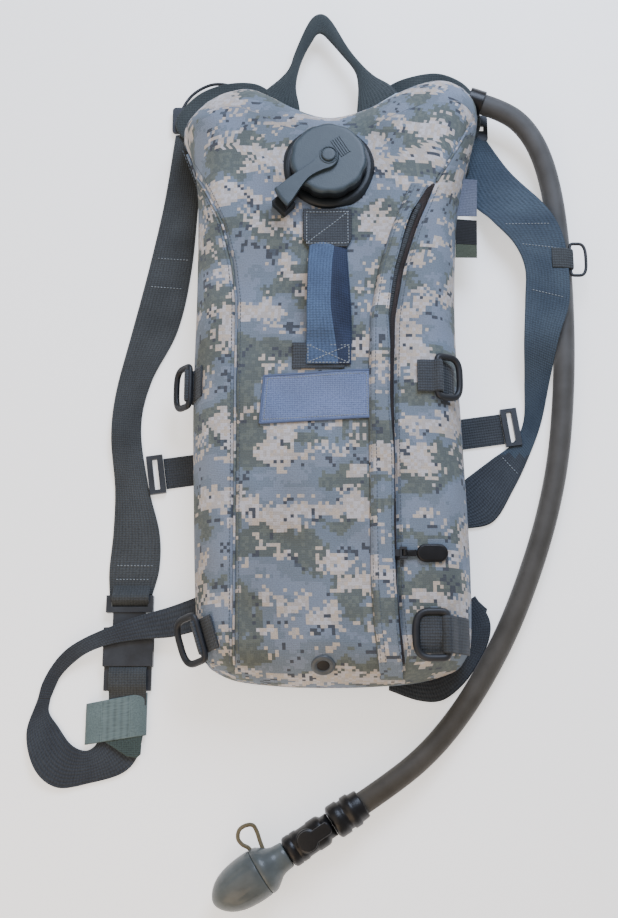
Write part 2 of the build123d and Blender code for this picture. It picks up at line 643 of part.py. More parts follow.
RIGHT_STRAP = [
    (132, 232), (140, 220), (157, 200), (174, 173), (186, 154), (192, 138), (193.5, 114),
    (192, 79), (186, 60), (178.5, 46), (176, 24), (172, 0), (164, -24), (147, -62), (131, -91),
    (113, -99), (105.4, -98.8), (78.6, -85.2), (84, -76), (107, -58), (137, -34), (152, -24),
    (157, 0), (155, 46), (157, 85), (161, 104), (157, 121), (150, 134), (133, 155), (116, 182),
    (106, 232),
]
over_top = STRAP_OVER_TUBE + STRAP_THICK
RIGHT_SIDE = [
    (232, under_yoke), (232, under_yoke - STRAP_THICK), (190, under_yoke - STRAP_THICK),
    (171, STRAP_OVER_TUBE), (57, STRAP_OVER_TUBE), (8, 0), (-110, 0), (-110, STRAP_THICK),
    (7, STRAP_THICK), (56, over_top), (172, over_top), (191, under_yoke),
]
with BuildPart() as right_shoulder_strap:
    add(prism(RIGHT_STRAP, -1, TALL))
    add(side_view_y(RIGHT_SIDE), mode=Mode.INTERSECT)
keep("right_shoulder_strap", right_shoulder_strap.part)

SLIDER_FRAME = (30.0, 24.0)
with BuildPart() as strap_sliders:
    with BuildSketch(Plane.XY.offset(under_yoke - 3.2)):
        for x, y in ((-117, 254), (120, 246.5)):
            with Locations((x, y)):
                RectangleRounded(SLIDER_FRAME[0], SLIDER_FRAME[1], 3)
                Rectangle(SLIDER_FRAME[0] - 7, 5, mode=Mode.SUBTRACT)
    extrude(amount=3.0)
keep("strap_sliders", strap_sliders.part)


# Side-release buckles: the local Y axis runs from the socket half to the plug half
def buckle_frame(x, y, heading):
    """A plane at the plug's webbing bar, its Y axis at heading degrees from X."""
    turn = math.radians(heading - 90)
    return Plane(origin=(x, y, 0), x_dir=(math.cos(turn), math.sin(turn), 0), z_dir=(0, 0, 1))


def plate(frame, outlines, low, high):
    """Rectangles (centre x, centre y, width, length) in a buckle's frame, as one plate."""
    with BuildPart(mode=Mode.PRIVATE) as body:
        with BuildSketch(frame.offset(low)):
            for x, y, wide, long in outlines:
                with Locations((x, y)):
                    Rectangle(wide, long)
        extrude(amount=high - low)
    return body.part


BAR_LONG = 13.0
SHELL_LONG = 29.5
LADDER_LONG = 18.0
PLUG_NECK = 11.0


def buckle_plug(frame, web):
    """The half with the sprung prongs: webbing bar, shoulders, guide and two prongs."""
    outer = web + 8
    with BuildPart(mode=Mode.PRIVATE) as plug:
        add(plate(frame, [(0, -BAR_LONG / 2, outer, BAR_LONG)], BUCKLE_LOW, BUCKLE_HIGH - 1))
        add(plate(frame, [(0, -6.5, web, 4.5)], -1, 20), mode=Mode.SUBTRACT)
        add(plate(frame, [(0, -BAR_LONG - PLUG_NECK / 2, web - 3, PLUG_NECK)], 2.4, 6.6))
        add(plate(frame, [(0, -35, 6, 23), (-web / 2 + 3.5, -35, 3.6, 23), (web / 2 - 3.5, -35, 3.6, 23)],
                  2.4, 6.6))
    return plug.part


def buckle_socket(frame, web):
    """The hollow half, with release windows in its sides and a ladder for the webbing."""
    outer = web + 10
    top = -BAR_LONG - PLUG_NECK - 0.5
    with BuildPart(mode=Mode.PRIVATE) as socket:
        add(plate(frame, [(0, top - SHELL_LONG / 2, outer, SHELL_LONG)], BUCKLE_LOW, BUCKLE_HIGH))
        add(plate(frame, [(0, top - SHELL_LONG / 2 + 3, web + 1, SHELL_LONG - 6 + 0.1)], 1.9, 7.1),
            mode=Mode.SUBTRACT)
        add(plate(frame, [(0, top, web + 1, 6)], 1.9, 7.1), mode=Mode.SUBTRACT)
        add(plate(frame, [(0, top - 13, outer + 4, 10)], 1.9, 7.1), mode=Mode.SUBTRACT)
        add(plate(frame, [(0, top - SHELL_LONG - LADDER_LONG / 2, outer - 2, LADDER_LONG)], 1.0, 6.0))
        add(plate(frame, [(0, top - SHELL_LONG - 5, web, 4.5), (0, top - SHELL_LONG - 12.5, web, 4.5)],
                  0, 20), mode=Mode.SUBTRACT)
    return socket.part


BUCKLE_LONG = BAR_LONG + PLUG_NECK + 0.5 + SHELL_LONG + LADDER_LONG
LEFT_BUCKLE = (-153.5, -150.3, 90.0)
RIGHT_BUCKLE = (91.6, -93.2, 63.3)
left_frame = buckle_frame(*LEFT_BUCKLE)
right_frame = buckle_frame(*RIGHT_BUCKLE)
keep("left_buckle_plug", buckle_plug(left_frame, MAIN_WEB))
keep("left_buckle_socket", buckle_socket(left_frame, MAIN_WEB))
keep("right_buckle_plug", buckle_plug(right_frame, MAIN_WEB))
keep("right_buckle_socket", buckle_socket(right_frame, MAIN_WEB))

# Lower left webbing: the tail moves with the buckle's socket, the rest is sewn to the bag
KEEPER_WALL = 1.5
tail_left = LEFT_BUCKLE[0] - MAIN_WEB / 2
tail_right = LEFT_BUCKLE[0] + MAIN_WEB / 2
KEEPER = (-184.0, tail_right + CLEAR + KEEPER_WALL, -262.0, -224.5)
KEEPER_TALL = 7.0
with BuildPart() as strap_keeper:
    add(slab(*KEEPER, 0, KEEPER_TALL))
    add(slab(KEEPER[0] + KEEPER_WALL, KEEPER[1] - KEEPER_WALL, KEEPER[2] - 1, KEEPER[3] + 1,
             KEEPER_WALL, KEEPER_TALL - KEEPER_WALL), mode=Mode.SUBTRACT)
keep("strap_keeper", strap_keeper.part)

TAIL_Z = KEEPER_WALL + 0.4
ladder_end = LEFT_BUCKLE[1] - BUCKLE_LONG
TAIL = [
    (tail_right, ladder_end - CLEAR), (tail_right, -252), (-144, -271), (-152, -282), (-178, -289),
    (-204, -294), (-221, -279), (-229, -250), (-221, -228), (-212, -228), (-207, -246),
    (-192, -263.5), (-176, -263), (tail_left, -240), (tail_left, ladder_end - CLEAR),
]
with BuildPart() as left_tail_webbing:
    add(prism(TAIL, TAIL_Z, TAIL_Z + WEB))
keep("left_tail_webbing", left_tail_webbing.part)

OVER_BUCKLE = BUCKLE_HIGH + 1.5
TAIL_SEW_Z = BODY_Z + 5.0
LOWER_LEFT = [
    (-212, -227.6), (-221, -227.6), (-219, -218), (-212, -203), (-201, -191), (-189, -182),
    (-169, -175), (-100, -153), (-95, -180), (-130, -183), (-173, -192), (-191, -201), (-203, -212),
]
LOWER_LEFT_VIEW = [
    (-223, TAIL_Z), (-202, TAIL_Z), (-180, OVER_BUCKLE), (-128, OVER_BUCKLE), (-94, TAIL_SEW_Z),
    (-94, TAIL_SEW_Z + WEB), (-128, OVER_BUCKLE + WEB), (-181, OVER_BUCKLE + WEB), (-203, TAIL_Z + WEB),
    (-223, TAIL_Z + WEB),
]
with BuildPart() as left_lower_webbing:
    add(prism(LOWER_LEFT, -1, TALL))
    add(side_view_x(LOWER_LEFT_VIEW), mode=Mode.INTERSECT)
    add(clear_form, mode=Mode.SUBTRACT)
keep("left_lower_webbing", left_lower_webbing.part)

# Lower right webbing: out from the hidden socket, folded at the right, back under the bag
SECOND_LAYER = 2 * WEB
UNDER_LAYER = [
    (71.3, -164.8), (46.3, -152.2), (44, -168), (54, -187), (105, -196), (113, -193),
    (121, -182), (122, -173), (109, -149), (96, -158), (84, -169),
]
OVER_LAYER = [
    (121, -182), (108, -205), (98, -219), (92, -227), (84, -231), (68, -230), (44, -223),
    (46, -199), (84, -203), (105, -196), (114, -186),
]
with BuildPart() as right_lower_webbing:
    add(prism(UNDER_LAYER, 0, WEB))
    add(prism(OVER_LAYER, SECOND_LAYER, SECOND_LAYER + WEB))
    add(prism([(105, -196), (113, -193), (121, -182), (114, -186)], 0, SECOND_LAYER + WEB))
    add(slab(50, 72, -213, -203, SECOND_LAYER, BACK_Z))
keep("right_lower_webbing", right_lower_webbing.part)

# Chest strap, passing under the bag between the pads
STERNUM_HEADING = 180 + 7.8
sternum_frame = buckle_frame(-35.7, -40.4, STERNUM_HEADING)
keep("sternum_buckle_plug", buckle_plug(sternum_frame, STERNUM_WEB))
keep("sternum_buckle_socket", buckle_socket(sternum_frame, STERNUM_WEB))
STERNUM_LEFT_LONG = 95.0
STERNUM_RIGHT_LONG = 103.0
with BuildPart() as sternum_strap_left:
    add(plate(sternum_frame, [(0, CLEAR + STERNUM_LEFT_LONG / 2, STERNUM_WEB, STERNUM_LEFT_LONG)],
              0.3, 0.3 + WEB))
keep("sternum_strap_left", sternum_strap_left.part)
with BuildPart() as sternum_strap_right:
    add(plate(sternum_frame, [(0, -BUCKLE_LONG - CLEAR - STERNUM_RIGHT_LONG / 2, STERNUM_WEB,
                               STERNUM_RIGHT_LONG)], 0.3, 0.3 + WEB))
keep("sternum_strap_right", sternum_strap_right.part)

with BuildPart() as sternum_sliders:
    for y, wide in ((CLEAR + STERNUM_LEFT_LONG + 0.3 + 6.5, 13),
                    (-BUCKLE_LONG - STERNUM_RIGHT_LONG - 0.6 - 6.5, 13)):
        add(plate(sternum_frame, [(0, y, STERNUM_WEB + 6, wide)], 0.3, 4.6))
        add(plate(sternum_frame, [(0, y, STERNUM_WEB, 4.0)], 0, 20), mode=Mode.SUBTRACT)
    add(left_shoulder_strap.part, mode=Mode.SUBTRACT)
    add(right_shoulder_strap.part, mode=Mode.SUBTRACT)
keep("sternum_sliders", sternum_sliders.part)

# Free drink tube: straight runs joined by arcs
TUBE_Z = TUBE_D / 2 + 0.3
FITTING_Z = COVER_R + 0.3
TUBE_ROUTE = [
    (148, 251.1, EXIT_Z), (164.9, 237, 21.5), (177.9, 214.5, 16), (186.1, 181.5, 10.5),
    (189.5, 143, TUBE_Z), (190.5, 98, TUBE_Z), (189.5, 50, TUBE_Z), (186, 2, TUBE_Z),
    (180, -44, TUBE_Z), (169.5, -88, TUBE_Z), (154.5, -132, TUBE_Z), (135.5, -177, TUBE_Z),
    (114, -215, TUBE_Z), (93, -245, 9.5), (70, -270, 13), (43.8, -290, FITTING_Z),
    (19, -306, FITTING_Z),
]
route = [Vector(EXIT_X, EXIT_Y, EXIT_Z)] + [Vector(*p) for p in TUBE_ROUTE]
route[1] = route[0] + Vector(*EXIT_DIRECTION) * 20.2


def corner_radii(points):
    """The largest arc each corner's two runs allow."""
    radii = []
    for before, corner, after in zip(points, points[1:], points[2:]):
        run_in, run_out = corner - before, after - corner
        turn = math.radians(run_in.get_angle(run_out))
        radii.append(0.45 * min(run_in.length, run_out.length) / math.tan(turn / 2))
    return radii


radii = corner_radii(route)
print("tube radii", [round(r) for r in radii])
with BuildPart() as drink_tube:
    with BuildLine() as tube_path:
        FilletPolyline(*route, radius=radii)
    with BuildSketch(Plane(origin=tube_path.line @ 0, z_dir=tube_path.line % 0)):
        Circle(TUBE_D / 2)
    sweep()
tube_length = sum(edge.length for edge in tube_path.edges())
print("tube length", round(tube_length, 1), "volume share",
      round(drink_tube.part.volume / (math.pi * (TUBE_D / 2) ** 2 * tube_length), 4))
keep("drink_tube", drink_tube.part)

# Fittings on the tube's end, in line with its last run
end_direction = (route[-1] - route[-2]).normalized()
end_frame = Plane(origin=route[-1], x_dir=(0, 0, 1), z_dir=end_direction)


def turned(stations):
    """A round piece along the fittings' axis, from (distance, radius) stations."""
    side = Plane(origin=end_frame.origin, x_dir=end_frame.z_dir, z_dir=end_frame.y_dir)
    with BuildPart(mode=Mode.PRIVATE) as body:
        with BuildSketch(side):
            with BuildLine():
                Polyline(*stations, close=True)
            make_face()
        revolve(axis=Axis(end_frame.origin, end_frame.z_dir))
    return body.part


coupling_end = COUPLING_LONG
stem_end = coupling_end + STEM_LONG
valve_end = stem_end + VALVE_LONG
base_end = valve_end + COVER_BASE_LONG
dome_end = base_end + COVER_DOME_LONG
with BuildPart() as tube_coupling:
    add(turned([(0, 0), (0, 11.0), (2, COUPLING_R), (8, COUPLING_R), (9, 11), (12, 11),
                (13, COUPLING_R), (coupling_end - 2, COUPLING_R), (coupling_end, 10), (coupling_end, 0)]))
keep("tube_coupling", tube_coupling.part)

LEVER_TURN_R = 7.5
LEVER_THICK = 3.4
lever_at = end_frame.origin + end_frame.z_dir * (stem_end + 15)
with BuildPart() as valve_body:
    add(turned([(coupling_end, 0), (coupling_end, STEM_R), (stem_end, STEM_R), (stem_end + 1.5, VALVE_R),
                (valve_end - 6, VALVE_R), (valve_end - 4, 7.0), (valve_end, 7.0), (valve_end, 0)]))
    with BuildSketch(Plane(origin=(lever_at.X, lever_at.Y, FITTING_Z))):
        Circle(LEVER_TURN_R + 1)
    extrude(amount=VALVE_R + 0.8)
keep("valve_body", valve_body.part)

with BuildPart() as shutoff_lever:
    # a round boss on the valve's top with an arm lying back along the valve
    with BuildSketch(Plane(origin=(lever_at.X, lever_at.Y, FITTING_Z + VALVE_R + 1.0),
                           x_dir=end_frame.z_dir, z_dir=(0, 0, 1))):
        Circle(LEVER_TURN_R)
        with Locations((-9.5, 0)):
            RectangleRounded(19, 9, 3)
    extrude(amount=LEVER_THICK)
    fillet(shutoff_lever.edges().group_by(Axis.Z)[-1], 1.0)
keep("shutoff_lever", shutoff_lever.part)

BITE_START = valve_end
BITE_LONG = 40.0
with BuildPart() as bite_valve:
    add(turned([(BITE_START, 0), (BITE_START, 6.5), (base_end + 2, 6.5), (base_end + 4, BITE_R),
                (BITE_START + BITE_LONG, BITE_R - 1.5), (BITE_START + BITE_LONG, 0)]))
keep("bite_valve", bite_valve.part)

with BuildPart() as cover_base:
    add(turned([(valve_end + 0.3, 6.8), (valve_end + 0.3, 9.5), (valve_end + 10, 10.5),
                (base_end - 6, COVER_R - 1.0), (base_end - 1, COVER_R), (base_end, COVER_R),
                (base_end, 6.8)]))
keep("cover_base", cover_base.part)

with BuildPart() as cover_dome:
    add(turned([(base_end + 0.3, COVER_R - COVER_WALL), (base_end + 0.3, COVER_R),
                (base_end + 12, COVER_R), (base_end + 22, COVER_R - 2.5), (dome_end - 11, COVER_R - 6.5),
                (dome_end - 4, 8), (dome_end - 2.5, 5), (dome_end, 4), (dome_end, 0),
                (dome_end - 6, 0), (dome_end - 8, 6), (dome_end - 13, COVER_R - 6.5 - COVER_WALL),
                (base_end + 20, COVER_R - 2.5 - COVER_WALL)]))
keep("cover_dome", cover_dome.part)

LOOP_CORD_R = 1.1
loop_root = end_frame.origin + end_frame.z_dir * (base_end - 9)
with BuildPart() as cover_loop:
    # a moulded loop standing out of the cover's side, in the plane of the floor
    loop_plane = Plane(origin=(loop_root.X, loop_root.Y, FITTING_Z), x_dir=end_frame.z_dir,
                       z_dir=(0, 0, 1))
    side = 1 if loop_plane.y_dir.Y > 0 else -1
    with BuildLine(loop_plane) as loop_path:
        FilletPolyline((-5, side * 13), (-8, side * 28), (-4, side * 41), (8, side * 40), (9, side * 27),
                       (2, side * 13), radius=6)
    with BuildSketch(Plane(origin=loop_path.line @ 0, z_dir=loop_path.line % 0)):
        Circle(LOOP_CORD_R)
    sweep()
    add(cover_base.part, mode=Mode.SUBTRACT)
keep("cover_loop", cover_loop.part)
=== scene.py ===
import bmesh
import bpy
import json
import math
import numpy as np
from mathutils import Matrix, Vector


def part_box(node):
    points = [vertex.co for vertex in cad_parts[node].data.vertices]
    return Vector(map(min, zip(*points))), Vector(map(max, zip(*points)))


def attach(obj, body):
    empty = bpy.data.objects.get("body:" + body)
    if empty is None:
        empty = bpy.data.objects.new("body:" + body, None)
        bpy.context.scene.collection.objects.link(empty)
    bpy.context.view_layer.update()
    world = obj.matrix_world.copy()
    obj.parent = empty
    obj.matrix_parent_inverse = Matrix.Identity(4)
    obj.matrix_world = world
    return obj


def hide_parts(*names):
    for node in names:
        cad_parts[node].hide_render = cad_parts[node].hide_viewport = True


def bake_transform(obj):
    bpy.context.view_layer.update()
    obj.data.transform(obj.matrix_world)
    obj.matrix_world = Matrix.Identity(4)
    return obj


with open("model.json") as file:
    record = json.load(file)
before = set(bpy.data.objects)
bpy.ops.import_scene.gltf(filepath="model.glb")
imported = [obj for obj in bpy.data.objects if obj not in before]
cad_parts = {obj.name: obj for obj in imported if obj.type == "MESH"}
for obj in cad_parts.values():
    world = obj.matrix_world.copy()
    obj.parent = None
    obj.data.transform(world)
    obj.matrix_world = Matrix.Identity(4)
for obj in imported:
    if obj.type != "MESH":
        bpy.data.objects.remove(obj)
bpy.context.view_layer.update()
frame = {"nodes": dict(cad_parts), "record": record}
mm = 0.001
print("frame loaded", len(frame["nodes"]), "nodes")


def linear(hexColour):
    # sRGB hex to linear light
    c = np.array([int(hexColour[i:i + 2], 16) for i in (1, 3, 5)]) / 255
    low = c / 12.92
    high = ((c + 0.055) / 1.055) ** 2.4
    return tuple(np.where(c <= 0.04045, low, high)) + (1.0,)


def addNode(mat, kind, values=None, **settings):
    # one node with its settings; a value that is a socket is linked
    node = mat.node_tree.nodes.new(kind)
    for key, value in settings.items():
        setattr(node, key, value)
    for key, value in (values or {}).items():
        if isinstance(value, bpy.types.NodeSocket):
            mat.node_tree.links.new(value, node.inputs[key])
        else:
            node.inputs[key].default_value = value
    return node


def newMaterial(name, roughness, sheen=0.0, ior=1.5):
    mat = bpy.data.materials.new(name)
    mat.use_nodes = True
    shader = mat.node_tree.nodes["Principled BSDF"]
    shader.inputs["Roughness"].default_value = roughness
    shader.inputs["IOR"].default_value = ior
    shader.inputs["Sheen Weight"].default_value = sheen
    shader.inputs["Specular IOR Level"].default_value = 0.32
    return mat, shader


def ramp(mat, fac, stops, interpolation="LINEAR"):
    node = addNode(mat, "ShaderNodeValToRGB", {"Fac": fac})
    node.color_ramp.interpolation = interpolation
    points = node.color_ramp.elements
    while len(points) < len(stops):
        points.new(0.5)
    for point, (place, colour) in zip(points, stops):
        point.position = place
        point.color = linear(colour)
    return node.outputs["Color"]


def curvePoints(points, count):
    # Catmull-Rom curve through the points, sampled evenly by length
    p = np.array(points, float)
    ends = np.vstack([2 * p[0] - p[1], p, 2 * p[-1] - p[-2]])
    t = np.linspace(0, len(p) - 1 - 1e-9, 24 * len(p))
    i = t.astype(int)
    f = (t - i)[:, None]
    a, b, c, d = ends[i], ends[i + 1], ends[i + 2], ends[i + 3]
    q = 0.5 * (2 * b + (c - a) * f + (2 * a - 5 * b + 4 * c - d) * f ** 2 + (3 * b - a - 3 * c + d) * f ** 3)
    run = np.concatenate([[0], np.cumsum(np.linalg.norm(np.diff(q, axis=0), axis=1))])
    s = np.linspace(0, run[-1], count)
    return np.stack([np.interp(s, run, q[:, k]) for k in range(q.shape[1])], axis=1)


def closedPoints(points, perSpan=14):
    # the same curve run round a closed outline
    p = np.array(points, float)
    a, b, c, d = (np.roll(p, k, axis=0)[:, None] for k in (1, 0, -1, -2))
    f = (np.arange(perSpan) / perSpan)[None, :, None]
    q = 0.5 * (2 * b + (c - a) * f + (2 * a - 5 * b + 4 * c - d) * f ** 2 + (3 * b - a - 3 * c + d) * f ** 3)
    return q.reshape(-1, p.shape[1])


def unit(v):
    return v / np.maximum(np.linalg.norm(v, axis=-1, keepdims=True), 1e-9)


def makeObject(name, verts, faces, mat, uv=None, smooth=True):
    # verts in mm; uv is per vertex, in mm
    mesh = bpy.data.meshes.new(name)
    mesh.from_pydata((np.asarray(verts) * mm).tolist(), [], faces)
    if uv is not None:
        layer = mesh.uv_layers.new(name="cloth")
        index = np.empty(len(mesh.loops), int)
        mesh.loops.foreach_get("vertex_index", index)
        layer.data.foreach_set("uv", (np.asarray(uv)[index] * mm).ravel())
    if smooth:
        mesh.polygons.foreach_set("use_smooth", np.ones(len(mesh.polygons), bool))
    mesh.materials.append(mat)
    mesh.update()
    obj = bpy.data.objects.new(name, mesh)
    bpy.context.scene.collection.objects.link(obj)
    return obj


def gridFaces(rows, cols, wrap=False):
    # quads of a rows x cols grid, the columns joined round if wrap
    last = cols if wrap else cols - 1
    r, c = np.meshgrid(np.arange(rows - 1), np.arange(last), indexing="ij")
    n = (c + 1) % cols
    quads = np.stack([r * cols + c, r * cols + n, (r + 1) * cols + n, (r + 1) * cols + c], axis=-1)
    return quads.reshape(-1, 4).tolist()


def finishPiece(obj, body, replaced=()):
    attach(obj, body)
    if replaced:
        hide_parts(*replaced)
    return obj


def strapPiece(name, left, right, thick, mat, count=160, camber=0.0, ripple=0.0, roundEdge=0.35):
    # a band between two edge curves: its section is a flattened oval carried along them,
    # x = cos t to a low power, height = sin t to a low power, lifted by a camber across it
    a, b = curvePoints(left, count), curvePoints(right, count)
    middle, across = (a + b) / 2, unit(b - a)
    half = np.linalg.norm(b - a, axis=1) / 2
    along = unit(np.gradient(middle, axis=0))
    up = unit(np.cross(across, along))
    t = np.linspace(0, 2 * np.pi, 33)[:-1]
    t = t - 0.42 * np.sin(2 * t)
    cx = np.sign(np.cos(t)) * np.abs(np.cos(t)) ** roundEdge
    cz = np.sign(np.sin(t)) * np.abs(np.sin(t)) ** 0.55
    run = np.concatenate([[0], np.cumsum(np.linalg.norm(np.diff(middle, axis=0), axis=1))])
    wave = ripple * (np.sin(run / 17.0) + 0.6 * np.sin(run / 7.3 + 1.1))
    edgeWave = wave[:, None] * (0.4 + 0.6 * cx[None, :] ** 2) * np.sign(cx)[None, :]
    lift = camber * (1 - cx[None, :] ** 2) + edgeWave
    rings = (middle[:, None] + across[:, None] * (half[:, None] * cx[None, :])[..., None]
             + up[:, None] * (cz[None, :] * thick / 2 + lift)[..., None])
    rounds = np.concatenate([[0], np.cumsum(np.linalg.norm(np.diff(rings[count // 2], axis=0), axis=1))])
    uv = np.stack(np.broadcast_arrays(run[:, None], rounds[None, :]), axis=-1).reshape(-1, 2)
    n = len(t)
    faces = gridFaces(count, n, wrap=True)
    faces.append(list(range(n))[::-1])
    faces.append([(count - 1) * n + k for k in range(n)])
    obj = makeObject(name, rings.reshape(-1, 3), faces, mat, uv)
    fixNormals(obj)
    return obj


def fixNormals(obj, merge=0.0):
    bm = bmesh.new()
    bm.from_mesh(obj.data)
    if merge:
        bmesh.ops.remove_doubles(bm, verts=bm.verts, dist=merge)
    bmesh.ops.recalc_face_normals(bm, faces=bm.faces)
    bm.to_mesh(obj.data)
    bm.free()


def turnedPiece(name, stations, origin, axis, mat, segments=72, radial=None):
    # a profile of (distance, radius) carried round an axis; radial(angle, distance) scales the radius
    st = np.array(stations, float)
    axis = unit(np.array(axis, float))
    side = unit(np.cross(axis, [0.0, 0.0, 1.0] if abs(axis[2]) < 0.9 else [1.0, 0.0, 0.0]))
    other = np.cross(axis, side)
    angle = np.linspace(0, 2 * np.pi, segments, endpoint=False)
    r = st[:, 1][:, None] * np.ones(segments)
    if radial is not None:
        r = r * radial(angle[None, :], st[:, 0][:, None])
    ring = side[None, None] * np.cos(angle)[None, :, None] + other[None, None] * np.sin(angle)[None, :, None]
    p = np.array(origin)[None, None] + axis * st[:, 0][:, None, None] + ring * r[..., None]
    uv = np.stack(np.broadcast_arrays(angle[None, :] * st[:, 1].max(), st[:, 0][:, None]), axis=-1)
    obj = makeObject(name, p.reshape(-1, 3), gridFaces(len(st), segments, wrap=True), mat, uv.reshape(-1, 2))
    fixNormals(obj, merge=1e-6)
    return obj


def refinedCopy(node, mat, bevel=0.5, smoothAngle=32):
    # a CAD node's shape as a merged copy with softened edges
    source = frame["nodes"][node]
    bm = bmesh.new()
    bm.from_mesh(source.data)
    bmesh.ops.remove_doubles(bm, verts=bm.verts, dist=2e-6)
    bmesh.ops.dissolve_limit(bm, angle_limit=math.radians(2), verts=bm.verts, edges=bm.edges)
    bmesh.ops.recalc_face_normals(bm, faces=bm.faces)
    mesh = bpy.data.meshes.new(node + "_shape")
    bm.to_mesh(mesh)
    bm.free()
    mesh.materials.clear()
    mesh.materials.append(mat)
    mesh.polygons.foreach_set("use_smooth", np.ones(len(mesh.polygons), bool))
    mesh.set_sharp_from_angle(angle=math.radians(smoothAngle))
    obj = bpy.data.objects.new(node + "_shape", mesh)
    bpy.context.scene.collection.objects.link(obj)
    if bevel:
        edge = obj.modifiers.new("softEdge", "BEVEL")
        edge.width = bevel * mm
        edge.segments = 3
        edge.limit_method = "ANGLE"
        edge.angle_limit = math.radians(smoothAngle)
        edge.use_clamp_overlap = True
        edge.harden_normals = False
    return obj


def rodPiece(name, path, radius, mat, closed=False, sides=10):
    # a round cord carried along a path: circles square to it, joined, with its ends closed or run together
    path = np.asarray(path, float)
    along = np.roll(path, -1, axis=0) - np.roll(path, 1, axis=0) if closed else np.gradient(path, axis=0)
    along = unit(along)
    side = unit(np.cross(along, [0, 0, 1.0]))
    up = np.cross(side, along)
    a = np.linspace(0, 2 * np.pi, sides, endpoint=False)
    tube = (path[:, None] + side[:, None] * (np.cos(a) * radius)[None, :, None]
            + up[:, None] * (np.sin(a) * radius)[None, :, None])
    count = len(path)
    uv = np.stack(np.broadcast_arrays((a * radius)[None, :], np.arange(count)[:, None] * 1.0), axis=-1)
    last = (count - 1) * sides
    if closed:
        ends = [[last + k, last + (k + 1) % sides, (k + 1) % sides, k] for k in range(sides)]
    else:
        ends = [list(range(sides))[::-1], [last + k for k in range(sides)]]
    obj = makeObject(name, tube.reshape(-1, 3), gridFaces(count, sides, wrap=True) + ends, mat,
                     uv.reshape(-1, 2))
    fixNormals(obj)
    return obj


def stitchRow(name, path, up, mat, pitch=2.6, long=1.9, thick=0.32):
    # thread seen as short raised dashes: one small capsule carried to each place on the path
    p = np.array(path, float)
    run = np.concatenate([[0], np.cumsum(np.linalg.norm(np.diff(p, axis=0), axis=1))])
    s = np.arange(pitch / 2, run[-1], pitch)
    centre = np.stack([np.interp(s, run, p[:, k]) for k in range(3)], axis=1)
    ahead = np.stack([np.interp(s + 0.4, run, p[:, k]) for k in range(3)], axis=1)
    back = np.stack([np.interp(s - 0.4, run, p[:, k]) for k in range(3)], axis=1)
    along = unit(ahead - back)
    lift = unit(np.broadcast_to(np.array(up, float), along.shape))
    side = unit(np.cross(along, lift))
    stations = np.array([[-1, 0.0], [-0.8, 0.75], [0, 1.0], [0.8, 0.75], [1, 0.0]])
    angle = np.linspace(0, 2 * np.pi, 6, endpoint=False)
    reach = np.repeat(stations[:, 1], 6)
    local = np.stack([np.repeat(stations[:, 0] * long / 2, 6),
                      np.tile(np.cos(angle), 5) * reach * thick * 1.3,
                      np.tile(np.sin(angle), 5) * reach * thick], axis=1)
    pts = (centre[:, None] + along[:, None] * local[None, :, :1] + side[:, None] * local[None, :, 1:2]
           + lift[:, None] * local[None, :, 2:3])
    base = np.array(gridFaces(5, 6, wrap=True))
    faces = (base[None] + (np.arange(len(s)) * 30)[:, None, None]).reshape(-1, 4).tolist()
    obj = makeObject(name, pts.reshape(-1, 3), faces, mat)
    fixNormals(obj, merge=1e-7)
    return obj


viewSet = {"place": (-16.2, -275.6, 941.8), "tilt": 14.0, "lens": 47.92}
cameraData = bpy.data.cameras.new("viewCamera")
cameraData.lens = viewSet["lens"]
cameraData.sensor_width = 36.0
camera = bpy.data.objects.new("viewCamera", cameraData)
camera.location = [v * mm for v in viewSet["place"]]
camera.rotation_euler = (math.radians(viewSet["tilt"]), 0, 0)
bpy.context.scene.collection.objects.link(camera)
bpy.context.scene.camera = camera

lightSet = {
    "window": {"place": (250, 750, 850), "size": 620, "power": 17.0, "colour": "#d3e2ff"},
    "room": {"place": (-600, -200, 1000), "size": 1200, "power": 5.0, "colour": "#ffecd8"},
    "low": {"place": (-300, -900, 500), "size": 700, "power": 4.5, "colour": "#ffdfba"},
}
for lightName, facts in lightSet.items():
    lamp = bpy.data.lights.new(lightName + "Light", "AREA")
    lamp.size = facts["size"] * mm
    lamp.energy = facts["power"]
    lamp.color = linear(facts["colour"])[:3]
    lampObject = bpy.data.objects.new(lightName + "Light", lamp)
    place = np.array(facts["place"]) * mm
    lampObject.location = place
    toward = -place / np.linalg.norm(place)
    lampObject.rotation_euler = (math.acos(-toward[2]), 0, math.atan2(toward[1], toward[0]) - math.pi / 2)
    bpy.context.scene.collection.objects.link(lampObject)
world = bpy.data.worlds.new("studio")
world.use_nodes = True
world.node_tree.nodes["Background"].inputs["Color"].default_value = linear("#f4f1ee")
world.node_tree.nodes["Background"].inputs["Strength"].default_value = 0.5
bpy.context.scene.world = world

floorMaterial, floorShader = newMaterial("paleFloorPaint", 0.8)
floorShader.inputs["Emission Color"].default_value = linear("#ffffff")
floorShader.inputs["Emission Strength"].default_value = 0.75
floorNoise = addNode(floorMaterial, "ShaderNodeTexNoise", {"Scale": 6.0, "Detail": 3.0})
floorMaterial.node_tree.links.new(ramp(floorMaterial, floorNoise.outputs["Fac"],
                                       [(0.3, "#f4f4f4"), (0.7, "#fafafa")]),
                                  floorShader.inputs["Base Color"])
floor = makeObject("floor", [(-3000, -3000, -0.3), (3000, -3000, -0.3), (3000, 3000, -0.3),
                             (-3000, 3000, -0.3)], [[0, 1, 2, 3]], floorMaterial, smooth=False)
print("camera and light set")


